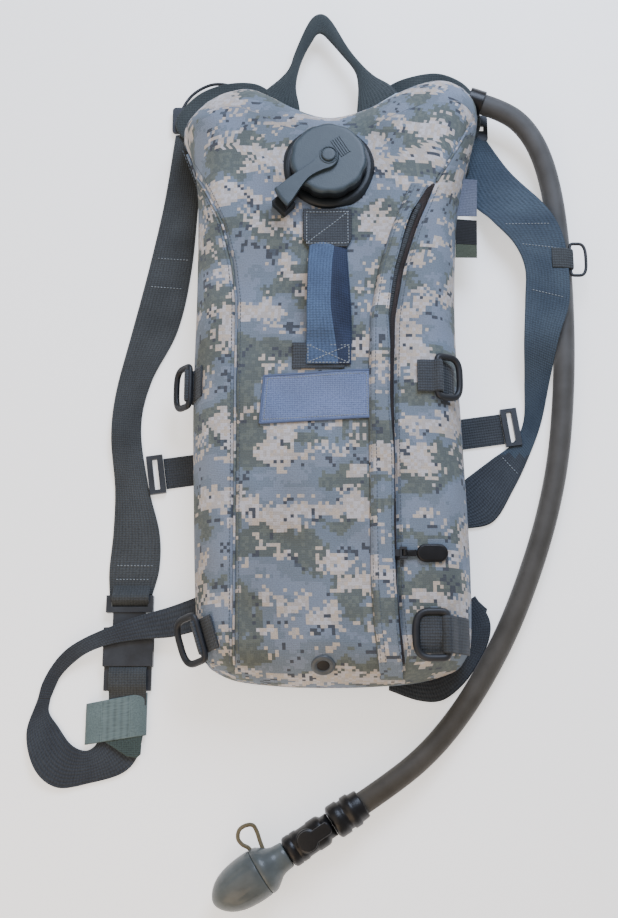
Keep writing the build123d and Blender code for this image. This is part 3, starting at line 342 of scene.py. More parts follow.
def thickSheet(name, grid, thick, mat, uv):
    # a grid of points (rows, columns, 3) given a thickness along its own normals, its rim closed
    du = np.gradient(grid, axis=1)
    dv = np.gradient(grid, axis=0)
    normal = unit(np.cross(du, dv))
    rows, cols = grid.shape[:2]
    top = (grid + normal * thick / 2).reshape(-1, 3)
    low = (grid - normal * thick / 2).reshape(-1, 3)
    upper = np.array(gridFaces(rows, cols))
    index = np.arange(rows * cols).reshape(rows, cols)
    rim = np.concatenate([index[0], index[1:, -1], index[-1, -2::-1], index[-2:0:-1, 0]])
    after = np.roll(rim, -1)
    side = np.stack([rim, after, after + rows * cols, rim + rows * cols], axis=1)
    faces = np.vstack([upper, upper[:, ::-1] + rows * cols, side]).tolist()
    flat = uv.reshape(-1, 2)
    obj = makeObject(name, np.vstack([top, low]), faces, mat, np.vstack([flat, flat]))
    fixNormals(obj)
    return obj


def platePiece(name, outline, thick, base, mat, crown=0.0, edge=1.2, closedCurve=False, middle=None):
    # a cut piece lying on a surface: its outline drawn in ring by ring, over a base height
    p = np.array(outline, float)
    if closedCurve:
        p = closedPoints(p)
    else:
        sides = [np.linspace(a, b, 24, endpoint=False) for a, b in zip(p, np.roll(p, -1, axis=0))]
        p = np.vstack(sides)
    centre = p.mean(axis=0) if middle is None else np.array(middle, float)
    reach = np.linalg.norm(p - centre, axis=1).mean()
    e = edge / reach
    levels = [(s, 0) for s in (0, 0.3, 0.6, 0.8, 0.92)]
    levels += [(1 - e, 0), (1 - e / 3, 0.13), (1, 0.5), (1 - e / 3, 0.87), (1 - e, 1)]
    levels += [(s, 1) for s in np.linspace(1 - 2 * e, 0, 22)]
    scale, height = np.array(levels, float).T
    xy = centre + (p - centre)[None] * scale[:, None, None]
    floorHeight = base(xy[..., 0], xy[..., 1]) if callable(base) else np.full(xy.shape[:2], float(base))
    swell = np.where(height[:, None] > 0.5, crown, 0.0) * (1 - scale[:, None] ** 4)
    z = floorHeight + height[:, None] * thick + swell
    pts = np.concatenate([xy, z[..., None]], axis=2)
    obj = makeObject(name, pts.reshape(-1, 3), gridFaces(len(levels), len(p), wrap=True), mat,
                     xy.reshape(-1, 2))
    fixNormals(obj, merge=1e-6)
    return obj


# outline of the bag in its four runs, the seams of its front, and its height over any place; all in mm
bag = {"left": [(-93, -202), (-98, -193), (-102, -156), (-105, -78), (-107, 0), (-106, 94), (-107, 170),
                (-112, 205), (-120, 227), (-114, 241), (-103, 253)],
       "bottom": [(-93, -202), (-88, -208), (-70, -216), (-36, -220), (0, -221), (34, -220), (66, -217),
                  (92, -209), (101, -200)],
       "right": [(101, -200), (105, -186), (106, -125), (103, -31), (100, 60), (103, 138), (110, 182),
                 (123, 236), (122, 254), (113, 266)],
       "top": [(-103, 253), (-87, 262), (-65, 266), (-46, 259), (-24, 247), (0, 240), (28, 247), (52, 261),
               (78, 272), (98, 273), (113, 266)],
       "leftSeam": [(-118, 211), (-109, 191), (-96, 162), (-84, 134), (-76, 102), (-72, 70), (-72, 0),
                    (-71, -100), (-70, -230)],
       "rightSeam": [(119, 236), (104, 206), (84, 169), (68, 130), (57, 95), (50, 55), (48, 0), (48, -150),
                     (50, -180), (56, -230)], "zipWidth": 13.0, "floor": 12.0, "depth": 49.0, "slope": 34.0,
       "edgeShare": 0.16, "seamDepth": 1.9, "seamWidth": 1.6, "puff": 1.3, "wrinkle": 0.42, }
front = bag["floor"] + bag["depth"]
port = (-1.0, 181.0)
# each dent: place, half length, half width, turn in degrees, depth
dents = [(-60, 194, 34, 9, 61, 2.6), (44, 213, 24, 7.5, 62, 2.4), (-24, 222, 16, 7, 20, 1.2),
         (22, 150, 20, 8, -50, 1.4), (-46, 96, 30, 9, 68, 1.4), (22, -60, 40, 12, 30, 1.3),
         (-34, -120, 34, 12, -24, 1.3), (78, 90, 26, 8, 80, 1.4)]

runs = {side: curvePoints(bag[side], 240) for side in ("left", "bottom", "right", "top")}
outlineLoop = np.vstack([runs["bottom"][:-1], runs["right"][:-1], runs["top"][::-1][:-1],
                         runs["left"][::-1][:-1]])


def outlineDistance(x, y):
    # least distance to the outline's segments, worked out in slices
    p = np.stack([x.ravel(), y.ravel()], axis=1)
    a = outlineLoop[::3]
    b = np.roll(a, -1, axis=0)
    ab = b - a
    best = np.empty(len(p))
    for start in range(0, len(p), 20000):
        q = p[start:start + 20000, None]
        t = np.clip(((q - a) * ab).sum(-1) / (ab ** 2).sum(-1), 0, 1)
        best[start:start + 20000] = np.linalg.norm(q - a - t[..., None] * ab, axis=-1).min(axis=1)
    return best.reshape(x.shape)


def seamX(seam, y):
    points = np.array(bag[seam], float)[::-1]
    return np.interp(y, points[:, 1], points[:, 0])


seeded = np.random.default_rng(7)
waveAngle = seeded.uniform(0, np.pi, 14)
waveLong = seeded.uniform(26, 75, 14)
wavePhase = seeded.uniform(0, 2 * np.pi, 14)


def bagHeight(x, y):
    # dome profile over the distance from the outline, then seams drawn in, panels puffed, and soft wrinkles
    x, y = np.asarray(x, float), np.asarray(y, float)
    d = outlineDistance(x, y)
    rise = (1 - (1 - np.minimum(d / bag["slope"], 1)) ** 2.6) ** 0.55
    z = bag["floor"] + bag["depth"] * (bag["edgeShare"] + (1 - bag["edgeShare"]) * rise)
    inner = np.clip(d / 30, 0, 1) ** 1.5
    wave = sum(np.sin((x * np.cos(a) + y * np.sin(a)) * 2 * np.pi / w + f)
               for a, w, f in zip(waveAngle, waveLong, wavePhase))
    z = z + bag["wrinkle"] * wave * inner * 0.55
    for at, up, halfLong, halfWide, turn, deep in dents:
        c, k = math.cos(math.radians(turn)), math.sin(math.radians(turn))
        along, across = (x - at) * c + (y - up) * k, (y - up) * c - (x - at) * k
        z = z - deep * np.exp(-(along / halfLong) ** 2 - (across / halfWide) ** 2) * inner
    for seam in ("leftSeam", "rightSeam"):
        topY = bag[seam][0][1]
        s = np.abs(x - seamX(seam, y)) * 0.9 + np.maximum(y - topY, 0)
        z = z - bag["seamDepth"] * np.exp(-(s / bag["seamWidth"]) ** 2) * np.clip(d / 6, 0, 1)
        z = z + bag["puff"] * inner * (1 - np.exp(-(s / 14) ** 2)) * 0.5
        ripple = np.sin(y / 5.2 + 1.3 * np.sin(y / 23)) * np.exp(-(s / 7) ** 2)
        z = z + 0.22 * ripple * inner
    return z


def coons(u, v):
    # blend of the four edge runs: opposite edges joined linearly, less the doubled corners
    at = lambda side, t: np.stack([np.interp(t * 239, np.arange(240), runs[side][:, k]) for k in (0, 1)],
                                  axis=-1)
    bottom, top, left, right = at("bottom", u), at("top", u), at("left", v), at("right", v)
    u, v = u[..., None], v[..., None]
    c = [runs["bottom"][0], runs["bottom"][-1], runs["top"][0], runs["top"][-1]]
    corners = (1 - u) * (1 - v) * c[0] + u * (1 - v) * c[1] + (1 - u) * v * c[2] + u * v * c[3]
    return (1 - v) * bottom + v * top + (1 - u) * left + u * right - corners


def clustered(count):
    # 0 to 1, closer together at the ends
    s = np.linspace(0, 1, count)
    return 0.72 * (0.5 - 0.5 * np.cos(np.pi * s)) + 0.28 * s


def seamU(seam, v):
    # where each row of the patch crosses a seam
    u = np.linspace(0, 1, 900)
    uu, vv = np.meshgrid(u, v)
    xy = coons(uu, vv)
    past = xy[..., 0] - seamX(seam, xy[..., 1])
    first = np.argmax(past > 0, axis=1)
    first = np.clip(first, 1, len(u) - 1)
    rows = np.arange(len(v))
    a, b = past[rows, first - 1], past[rows, first]
    return u[first - 1] + (u[1] - u[0]) * np.clip(-a / (b - a + 1e-12), 0, 1)


def panelUv(grid, offset):
    # arc length across from the panel's middle, and arc length up and down from its middle row
    step = np.linalg.norm(np.diff(grid, axis=1), axis=2)
    across = np.concatenate([np.zeros((len(grid), 1)), np.cumsum(step, axis=1)], axis=1)
    across = across - across[:, -1:] / 2
    middle = len(grid) // 2
    climb = np.linalg.norm(np.diff(grid, axis=0), axis=2)
    upward = np.concatenate([np.zeros((1, grid.shape[1])), np.cumsum(climb, axis=0)], axis=0)
    upward = upward - upward[middle] + grid[middle, :, 1]
    return np.stack([across + offset[0], upward + offset[1]], axis=-1)


# woven and moulded finishes

# printed cloth: lengths in mm, and how far up its cloud each ink begins
printSet = {"block": 2.6, "thread": 1.3, "pale": 0.615, "grey": 0.565, "dark": 0.80}


def waveScale(pitch):
    # a wave texture turns once in two pi over twenty times its scale; pitch is in mm
    return 2 * math.pi / 20 / (pitch * mm)


def camoCloth():
    # 1000-denier nylon, printed in square blocks 2.6 mm across and coated at the back:
    # gives a dry, matt cloth with a fine square weave and colours that break up in steps
    mat, shader = newMaterial("printedPackCloth", 0.85, sheen=0.03)
    uv = addNode(mat, "ShaderNodeUVMap", uv_map="cloth").outputs["UV"]
    block = printSet["block"] * mm
    squares = addNode(mat, "ShaderNodeVectorMath", {0: uv, 1: (block, block, block)},
                      operation="SNAP").outputs[0]
    dither = addNode(mat, "ShaderNodeTexWhiteNoise", {"Vector": squares},
                     noise_dimensions="2D").outputs["Value"]

    def blotch(wide, tall, shift, detail, spread):
        # cloud of one ink: noise over the squares, stretched across, its edge broken by the dither
        place = addNode(mat, "ShaderNodeMapping", {"Vector": squares, "Location": (shift, shift * 1.7, shift),
                                                   "Scale": (1 / wide, 1 / tall, 1)}).outputs["Vector"]
        cloud = addNode(mat, "ShaderNodeTexNoise", {"Vector": place, "Scale": 1.0, "Detail": detail,
                                                    "Roughness": 0.55}, noise_dimensions="2D").outputs["Fac"]
        loose = addNode(mat, "ShaderNodeMath", {0: dither, 1: spread, 2: cloud}, operation="MULTIPLY_ADD")
        return loose.outputs["Value"]

    pale = blotch(0.040, 0.026, 3.1, 3.0, 0.13)
    grey = blotch(0.050, 0.034, 11.7, 2.0, 0.07)
    dark = blotch(0.022, 0.014, 23.3, 3.0, 0.22)
    tone = addNode(mat, "ShaderNodeTexNoise", {"Vector": uv, "Scale": 14.0, "Detail": 2.0}).outputs["Fac"]
    base = ramp(mat, grey, [(0.0, "#7d8a9e"), (0.45, "#717f90"), (0.6, "#687580")], "CONSTANT")
    paleInk = ramp(mat, dither, [(0.0, "#c3c2c8"), (0.4, "#b5b1b0"), (0.75, "#c0b6ac")], "CONSTANT")
    darkInk = ramp(mat, dither, [(0.0, "#525c69"), (0.55, "#484e58")], "CONSTANT")
    paleMask = addNode(mat, "ShaderNodeMath", {0: pale, 1: printSet["pale"]},
                       operation="GREATER_THAN").outputs["Value"]
    darkMask = addNode(mat, "ShaderNodeMath", {0: dark, 1: printSet["dark"]},
                       operation="GREATER_THAN").outputs["Value"]
    greyMask = addNode(mat, "ShaderNodeMath", {0: grey, 1: printSet["grey"]},
                       operation="GREATER_THAN").outputs["Value"]
    greenInk = ramp(mat, dither, [(0.0, "#5c6566"), (0.6, "#666f6d")], "CONSTANT")
    a = addNode(mat, "ShaderNodeMix", {"Factor": greyMask, 6: base, 7: greenInk}, data_type="RGBA").outputs[2]
    b = addNode(mat, "ShaderNodeMix", {"Factor": paleMask, 6: a, 7: paleInk}, data_type="RGBA").outputs[2]
    c = addNode(mat, "ShaderNodeMix", {"Factor": darkMask, 6: b, 7: darkInk}, data_type="RGBA").outputs[2]
    worn = ramp(mat, tone, [(0.3, "#e9e4dc"), (0.7, "#ffffff")])
    final = addNode(mat, "ShaderNodeMix", {"Factor": 1.0, 6: c, 7: worn}, data_type="RGBA",
                    blend_type="MULTIPLY").outputs[2]
    # the real thread is 0.5 mm; drawn at 1.3 mm so that it shows
    warp = addNode(mat, "ShaderNodeTexWave",
                   {"Vector": uv, "Scale": waveScale(printSet["thread"]), "Distortion": 0.6, "Detail": 1.0},
                   bands_direction="X").outputs["Fac"]
    weft = addNode(mat, "ShaderNodeTexWave",
                   {"Vector": uv, "Scale": waveScale(printSet["thread"]), "Distortion": 0.6, "Detail": 1.0},
                   bands_direction="Y").outputs["Fac"]
    weave = addNode(mat, "ShaderNodeMath", {0: warp, 1: weft}, operation="ADD").outputs["Value"]
    slub = addNode(mat, "ShaderNodeTexNoise", {"Vector": uv, "Scale": 900.0, "Detail": 2.0}).outputs["Fac"]
    cloth = addNode(mat, "ShaderNodeMath", {0: slub, 1: 1.2, 2: weave},
                    operation="MULTIPLY_ADD").outputs["Value"]
    bump = addNode(mat, "ShaderNodeBump", {"Height": cloth, "Strength": 0.35, "Distance": 0.0004})
    fleck = ramp(mat, slub, [(0.3, "#cfcfcf"), (0.62, "#ffffff")])
    final = addNode(mat, "ShaderNodeMix", {"Factor": 0.55, 6: final, 7: fleck}, data_type="RGBA",
                    blend_type="MULTIPLY").outputs[2]
    mat.node_tree.links.new(final, shader.inputs["Base Color"])
    mat.node_tree.links.new(bump.outputs["Normal"], shader.inputs["Normal"])
    return mat


def webbingTape(name, dark, light, rib=1.9, rough=0.74, cover="cloth"):
    # woven nylon or polyester webbing: cords across the width, a soft sheen, faded unevenly along it;
    # the real cords are about 1 mm apart and are drawn wider so that they show
    mat, shader = newMaterial(name, rough, sheen=0.04)
    uv = addNode(mat, "ShaderNodeUVMap", uv_map=cover).outputs["UV"]
    across = addNode(mat, "ShaderNodeTexWave",
                     {"Vector": uv, "Scale": waveScale(rib), "Distortion": 0.5, "Detail": 1.0,
                      "Detail Scale": 3.0}, bands_direction="X").outputs["Fac"]
    along = addNode(mat, "ShaderNodeTexWave",
                    {"Vector": uv, "Scale": waveScale(rib * 1.15), "Distortion": 0.4, "Detail": 1.0},
                    bands_direction="Y").outputs["Fac"]
    fade = addNode(mat, "ShaderNodeTexNoise", {"Vector": uv, "Scale": 28.0, "Detail": 3.0}).outputs["Fac"]
    grain = addNode(mat, "ShaderNodeTexNoise", {"Vector": uv, "Scale": 700.0, "Detail": 2.0}).outputs["Fac"]
    colour = ramp(mat, fade, [(0.32, dark), (0.68, light)])
    thread = addNode(mat, "ShaderNodeMath", {0: across, 1: along}, operation="MULTIPLY").outputs["Value"]
    shade = ramp(mat, addNode(mat, "ShaderNodeMath", {0: thread, 1: 0.6, 2: grain},
                              operation="MULTIPLY_ADD").outputs[0], [(0.25, "#b4b4b4"), (0.8, "#ffffff")])
    mixed = addNode(mat, "ShaderNodeMix", {"Factor": 1.0, 6: colour, 7: shade}, data_type="RGBA",
                    blend_type="MULTIPLY").outputs[2]
    height = addNode(mat, "ShaderNodeMath", {0: across, 1: 0.7, 2: along},
                     operation="MULTIPLY_ADD").outputs["Value"]
    bump = addNode(mat, "ShaderNodeBump", {"Height": height, "Strength": 0.5, "Distance": 0.0005})
    mat.node_tree.links.new(mixed, shader.inputs["Base Color"])
    mat.node_tree.links.new(bump.outputs["Normal"], shader.inputs["Normal"])
    return mat


def mouldedPart(name, dark, light, rough, grit=0.9, depth=0.00012, coat=0.0):
    # injection-moulded plastic with a spark-eroded grain: an even sheen broken by fine grit,
    # rubbed paler in patches where it is handled
    mat, shader = newMaterial(name, rough)
    shader.inputs["Coat Weight"].default_value = coat
    place = addNode(mat, "ShaderNodeTexCoord").outputs["Object"]
    fine = addNode(mat, "ShaderNodeTexNoise",
                   {"Vector": place, "Scale": 1000 / grit, "Detail": 3.0}).outputs["Fac"]
    patch = addNode(mat, "ShaderNodeTexNoise", {"Vector": place, "Scale": 55.0, "Detail": 4.0,
                                                "Roughness": 0.6}).outputs["Fac"]
    colour = ramp(mat, patch, [(0.33, dark), (0.7, light)])
    roughness = addNode(mat, "ShaderNodeMapRange", {"Value": patch, "To Min": rough - 0.08,
                                                    "To Max": rough + 0.1}).outputs["Result"]
    bump = addNode(mat, "ShaderNodeBump", {"Height": fine, "Strength": 0.4, "Distance": depth * 2})
    mat.node_tree.links.new(colour, shader.inputs["Base Color"])
    mat.node_tree.links.new(roughness, shader.inputs["Roughness"])
    mat.node_tree.links.new(bump.outputs["Normal"], shader.inputs["Normal"])
    return mat


def airMesh(name, dark, light):
    # spacer knit over foam: a hexagonal open net with dark holes about 3 mm apart
    mat, shader = newMaterial(name, 0.88, sheen=0.2)
    place = addNode(mat, "ShaderNodeTexCoord").outputs["Object"]
    flat = addNode(mat, "ShaderNodeMapping", {"Vector": place, "Scale": (1, 1, 0.2)}).outputs["Vector"]
    holes = addNode(mat, "ShaderNodeTexVoronoi",
                    {"Vector": flat, "Scale": 1 / 0.0031, "Randomness": 0.25}).outputs["Distance"]
    colour = ramp(mat, holes, [(0.18, dark), (0.36, light)])
    bump = addNode(mat, "ShaderNodeBump", {"Height": holes, "Strength": 0.7, "Distance": 0.0009})
    mat.node_tree.links.new(colour, shader.inputs["Base Color"])
    mat.node_tree.links.new(bump.outputs["Normal"], shader.inputs["Normal"])
    return mat


def tubeSleeve():
    # the hose in its moulded neoprene-and-knit cover: matt, faintly ribbed round, painted darker and browner
    # towards its low end as painted shade
    mat, shader = newMaterial("insulatedHose", 0.62, sheen=0.1)
    place = addNode(mat, "ShaderNodeTexCoord").outputs["Object"]
    height = addNode(mat, "ShaderNodeSeparateXYZ", {0: place}).outputs["Y"]
    # painted shade: the colour runs darker and browner towards the pack's low end
    shadeAlongIt = addNode(mat, "ShaderNodeMapRange",
                      {"Value": height, "From Min": -0.28, "From Max": 0.22}).outputs["Result"]
    colour = ramp(mat, shadeAlongIt, [(0.0, "#46433d"), (0.35, "#4b4a47"), (1.0, "#525354")])
    smear = addNode(mat, "ShaderNodeTexNoise", {"Vector": place, "Scale": 42.0, "Detail": 4.0}).outputs["Fac"]
    tone = ramp(mat, smear, [(0.3, "#cfcdc8"), (0.7, "#ffffff")])
    mixed = addNode(mat, "ShaderNodeMix", {"Factor": 1.0, 6: colour, 7: tone}, data_type="RGBA",
                    blend_type="MULTIPLY").outputs[2]
    knit = addNode(mat, "ShaderNodeTexNoise", {"Vector": place, "Scale": 850.0, "Detail": 2.0}).outputs["Fac"]
    bump = addNode(mat, "ShaderNodeBump", {"Height": knit, "Strength": 0.35, "Distance": 0.0003})
    mat.node_tree.links.new(mixed, shader.inputs["Base Color"])
    mat.node_tree.links.new(bump.outputs["Normal"], shader.inputs["Normal"])
    return mat


camo = camoCloth()
webStrap = webbingTape("shoulderWebbing", "#35393b", "#43484b")
webBlue = webbingTape("fadedWebbing", "#43546f", "#536b8e")
webRight = webbingTape("blueShoulderWebbing", "#33404e", "#44525f")
webGreen = webbingTape("foliageWebbing", "#34393e", "#42474d")
# lower webbing colour; also put on the right shoulder strap's lower run, where it stands for painted shade as
# the strap turns under
lowWebbingAndShade = webbingTape("lowerWebbingAndStrapShade", "#2d3239", "#3c434b")
yokeCloth = webbingTape("shoulderCloth", "#343c3e", "#434a4c", rib=1.4, rough=0.85)
patchCloth = webbingTape("patchTwill", "#6a7a9f", "#7788b2", rib=1.3)
patchEdge = webbingTape("patchMerrow", "#5d6d92", "#6a7a9e", rib=1.2)
keeperCloth = webbingTape("keeperElastic", "#65787a", "#6f8385", rib=0.8, rough=0.6)
keeperPile = webbingTape("keeperPile", "#3c4a49", "#4c5b59", rib=1.3, rough=0.9)
tagCloth = webbingTape("tagSatin", "#565d70", "#656d80", rib=1.2, rough=0.6)
tagBlack = webbingTape("tagBlack", "#0c0e11", "#15181b", rib=1.2, rough=0.6)
threadPale = mouldedPart("bondedThread", "#7b848c", "#8f979e", 0.7)
threadDark = mouldedPart("bondedThreadDark", "#4a525a", "#5b646d", 0.7)
buckleNylon = mouldedPart("buckleAcetal", "#24282d", "#343940", 0.42)
ringNylon = mouldedPart("ringNylon", "#1b1e22", "#2a2c30", 0.42)
capPlastic = mouldedPart("capPolypropylene", "#303b42", "#3e4950", 0.4, grit=1.1)
# darker plastic of the collar, also used for the cap's lower rim as painted shade under its edge
shadedRimAndCollar = mouldedPart("capRimShadeAndCollar", "#191e22", "#242a30", 0.42, grit=1.1)
valvePlastic = mouldedPart("valveAcetal", "#0a0a0b", "#141315", 0.34)
coverPlastic = mouldedPart("coverElastomer", "#43494a", "#535a5b", 0.38, grit=1.4, coat=0.15)
silicone = mouldedPart("siliconeRubber", "#3f4c58", "#566472", 0.4)
loopRubber = mouldedPart("loopElastomer", "#57503a", "#6b6450", 0.45)
linerFoam = mouldedPart("polyetherFoam", "#b9b7ac", "#d0cec4", 0.9, grit=0.7, depth=0.0004)
bladderFilm = mouldedPart("polyurethaneFilm", "#7f95a8", "#9db0c0", 0.25)
steel = mouldedPart("paintedSteel", "#3a3f43", "#565c61", 0.35)
padMesh = airMesh("spacerMesh", "#1b1d1f", "#54595e")
backCloth = webbingTape("backPackCloth", "#5a656c", "#68747b", rib=1.3, rough=0.86)
# the loop's turned side: a darker copy of its webbing, painted shade where it faces away from the light
webTurnedShade = webbingTape("strapNylonTurnedShade", "#222b3f", "#33405c")
tagGreen = webbingTape("tagGreenPrint", "#454e42", "#565f50", rib=0.9)
# dark zipper tape, darkened further as painted shade from the storm flap's edge
zipTapeAndShade = webbingTape("zipperTapeAndFlapShade", "#241f20", "#3b3230", rib=1.2)
zipperNylon = mouldedPart("zipperCoil", "#1d2022", "#2c3032", 0.45)
print("materials made")

# which body each node has
bodyOf = {node: body for body, members in frame["record"]["behaviour"]["bodies"].items() for node in members}


def carried(node, mat, bevel, angle=32):
    return finishPiece(refinedCopy(node, mat, bevel, angle), bodyOf[node],
                       [node])


# bag: three cloth panels that meet in their seams, and the wall below them

panelSet = {"rows": 300, "left": 60, "front": 190, "right": 74, "portHole": 28.0}
rowsV = clustered(panelSet["rows"])
leftU = seamU("leftSeam", rowsV)
rightU = seamU("rightSeam", rowsV)
leftTop = np.argmax(coons(leftU, rowsV)[:, 1] > bag["leftSeam"][0][1])
rightTop = np.argmax(coons(rightU, rowsV)[:, 1] > bag["rightSeam"][0][1])
leftU[leftTop:] = 0.0
rightU[rightTop:] = 1.0


def panelGrid(uFrom, uTo, vRows, cols, ends):
    # rows of the patch between two seams, columns closer at the ends that lie on the outline
    s = {"both": clustered(cols), "first": 1 - np.cos(np.linspace(0, np.pi / 2, cols)),
         "last": np.sin(np.linspace(0, np.pi / 2, cols))}[ends]
    s = 0.65 * s + 0.35 * np.linspace(0, 1, cols) if ends != "both" else s
    u = uFrom[:, None] + (uTo - uFrom)[:, None] * s[None]
    xy = coons(u, np.broadcast_to(vRows[:, None], u.shape))
    return np.concatenate([xy, bagHeight(xy[..., 0], xy[..., 1])[..., None]], axis=2)


def panelPiece(name, grid, offset, hole=None):
    uv = panelUv(grid, offset)
    faces = np.array(gridFaces(*grid.shape[:2]))
    points = grid.reshape(-1, 3)
    if hole is not None:
        middle = points[faces].mean(axis=1)
        faces = faces[np.hypot(middle[:, 0] - port[0], middle[:, 1] - port[1]) > hole]
    obj = makeObject(name, points, faces.tolist(), camo, uv.reshape(-1, 2))
    fixNormals(obj, merge=1e-7)
    return obj


zeroU, oneU = np.zeros(panelSet["rows"]), np.ones(panelSet["rows"])
frontGrid = panelGrid(leftU, rightU, rowsV, panelSet["front"], "both")
leftGrid = panelGrid(zeroU[:leftTop + 1], leftU[:leftTop + 1], rowsV[:leftTop + 1], panelSet["left"], "first")
rightGrid = panelGrid(rightU[:rightTop + 1], oneU[:rightTop + 1], rowsV[:rightTop + 1], panelSet["right"],
                      "last")
finishPiece(panelPiece("frontPanelCloth", frontGrid, (0, 0), panelSet["portHole"]), "pack",
            ["front_panel", "zipper_tape"])
finishPiece(panelPiece("leftGussetCloth", leftGrid, (-173, 41)), "pack", ["left_gusset"])
finishPiece(panelPiece("rightGussetCloth", rightGrid, (207, -63)), "pack", ["right_gusset"])

loopRun = np.concatenate([[0], np.cumsum(np.linalg.norm(np.diff(np.vstack([outlineLoop, outlineLoop[:1]]),
                                                                axis=0), axis=1))])
outward = unit(np.stack([np.gradient(outlineLoop[:, 1]), -np.gradient(outlineLoop[:, 0])], axis=1))


def wallPiece(name, profile, mat, swell=0.0):
    # a profile of (outward, height) pairs carried round the outline
    pr = np.array(profile, float)
    ripple = swell * np.sin(loopRun[:-1] / 8.5) * np.sin(loopRun[:-1] / 31)
    xy = outlineLoop[None] + outward[None] * (pr[:, 0][:, None, None] + ripple[None, :, None])
    z = np.broadcast_to(pr[:, 1][:, None], xy.shape[:2])
    drop = np.concatenate([[0], np.cumsum(np.linalg.norm(np.diff(pr, axis=0), axis=1))])
    uv = np.stack(np.broadcast_arrays(loopRun[None, :-1], drop[:, None]), axis=-1)
    pts = np.concatenate([xy, z[..., None]], axis=2).reshape(-1, 3)
    obj = makeObject(name, pts, gridFaces(len(pr), len(outlineLoop), wrap=True), mat, uv.reshape(-1, 2))
    fixNormals(obj)
    return obj


edgeZ = bag["floor"] + bag["depth"] * bag["edgeShare"]
wallProfile = [(0.0, edgeZ), (0.2, edgeZ - 1), (0.0, edgeZ - 3), (-1.0, edgeZ - 5),
               (-2.0, bag["floor"] + 1.5)]
finishPiece(wallPiece("sideWallCloth", wallProfile, camo), "pack")
binding = [(-4.0 + 2.8 * math.cos(a), 11.6 + 3.0 * math.sin(a)) for a in np.linspace(2.6, -2.6, 16)]
finishPiece(wallPiece("seamBinding", binding, yokeCloth, swell=0.25), "pack")

# back: cloth panel, quilted pads in spacer mesh, and the yoke behind the shoulders
backOutline = outlineLoop[::6] * (1 - 5.5 / 105)
backOutline[:, 1] = 30 + (outlineLoop[::6, 1] - 30) * (1 - 5.5 / 251)
backCentre = np.array([0.0, 20.0])
scale = np.concatenate([[1.0], np.linspace(0.985, 0.0, 60)])
backXy = backCentre + (backOutline - backCentre)[None] * scale[:, None, None]
quilt = 0.5 * np.abs(np.sin(backXy[..., 1] / 13.5)) * np.clip((1 - scale)[:, None] * 8, 0, 1)
backPoints = np.concatenate([backXy, (9.1 - 0.35 * quilt)[..., None]], axis=2)
backPanel = makeObject("backPanelCloth", backPoints.reshape(-1, 3),
                       gridFaces(len(scale), len(backOutline), wrap=True), backCloth, backXy.reshape(-1, 2))
fixNormals(backPanel, merge=1e-6)
if backPanel.data.polygons[len(backPanel.data.polygons) // 2].normal.z > 0:
    backPanel.data.flip_normals()
finishPiece(backPanel, "pack", ["back_panel"])

# each pad: half width, low end, high end, spacing of its sewn channels
padSet = {"upper": (80.0, -9.0, 185.0, 48.0), "lower": (41.0, -200.0, -82.0, 39.0), "tall": 8.8, "face": 9.0,
          "channelDepth": 2.4, "clearOfFloor": 0.25, "draw": 2.2, "cornerPower": 0.24, "fill": 0.7}


def padRim(half, y0, y1):
    # superellipse close to a rectangle, whose sides draw in a little between its corners
    middle, tall = (y0 + y1) / 2, (y1 - y0) / 2
    t = np.linspace(0, 2 * np.pi, 220, endpoint=False)
    power, draw = padSet["cornerPower"], padSet["draw"]
    x = half * np.sign(np.cos(t)) * np.abs(np.cos(t)) ** power
    y = tall * np.sign(np.sin(t)) * np.abs(np.sin(t)) ** power
    inward = 1 - draw * (np.cos(x / half * np.pi / 2) * (np.abs(y) > 0.9 * tall) / tall
                         + np.cos(y / tall * np.pi / 2) * (np.abs(x) > 0.9 * half) / half)
    return np.stack([x * inward, middle + y * inward], axis=1)


def padPiece(name, half, y0, y1, channelGap):
    # a crowned pad lying on its face: height falls to the edge as a root, with sewn channels pressed in
    rim = padRim(half, y0, y1)
    centre = np.array([0.0, (y0 + y1) / 2])
    s = np.sin(np.linspace(np.pi / 2, 0, 70))
    xy = centre + (rim - centre)[None] * s[:, None, None]
    tall = padSet["tall"] * (1 - s ** 5.0)[:, None] ** 0.45
    channel = np.exp(-((xy[..., 1] - centre[1] + channelGap / 2) % channelGap - channelGap / 2) ** 2 / 3.5)
    soft = np.clip((1 - s) * 14, 0, 1)[:, None]
    low = np.maximum(padSet["face"] - tall + padSet["channelDepth"] * channel * soft, padSet["clearOfFloor"])
    pts = np.concatenate([xy, low[..., None]], axis=2)
    obj = makeObject(name, pts.reshape(-1, 3), gridFaces(len(s), len(rim), wrap=True), padMesh,
                     xy.reshape(-1, 2))
    fixNormals(obj, merge=1e-6)
    if obj.data.polygons[len(obj.data.polygons) // 2].normal.z > 0:
        obj.data.flip_normals()
    return obj


for name, facts in (("upperBackPad", padSet["upper"]), ("lowerBackPad", padSet["lower"])):
    finishPiece(padPiece(name, *facts), "pack", ["back_pads"])
yokeOutline = [(-104, 198), (-112, 222), (-128, 244), (-126, 259), (-110, 277), (-90, 286), (-69, 288),
               (-54, 283), (-40, 268), (-24, 255), (0, 250), (24, 256), (38, 268), (51, 284), (69, 293),
               (93, 297), (112, 290), (123, 278), (128, 262), (128, 244), (116, 222), (108, 198), (0, 188)]
finishPiece(platePiece("shoulderYoke", yokeOutline, 3.0, 6.0, yokeCloth, closedCurve=True, edge=1.5,
                       middle=(0, 212)), "pack", ["yoke_panel"])
print("bag made")

# fill port: collar, lobed cap, gasket, tether arm and rivet

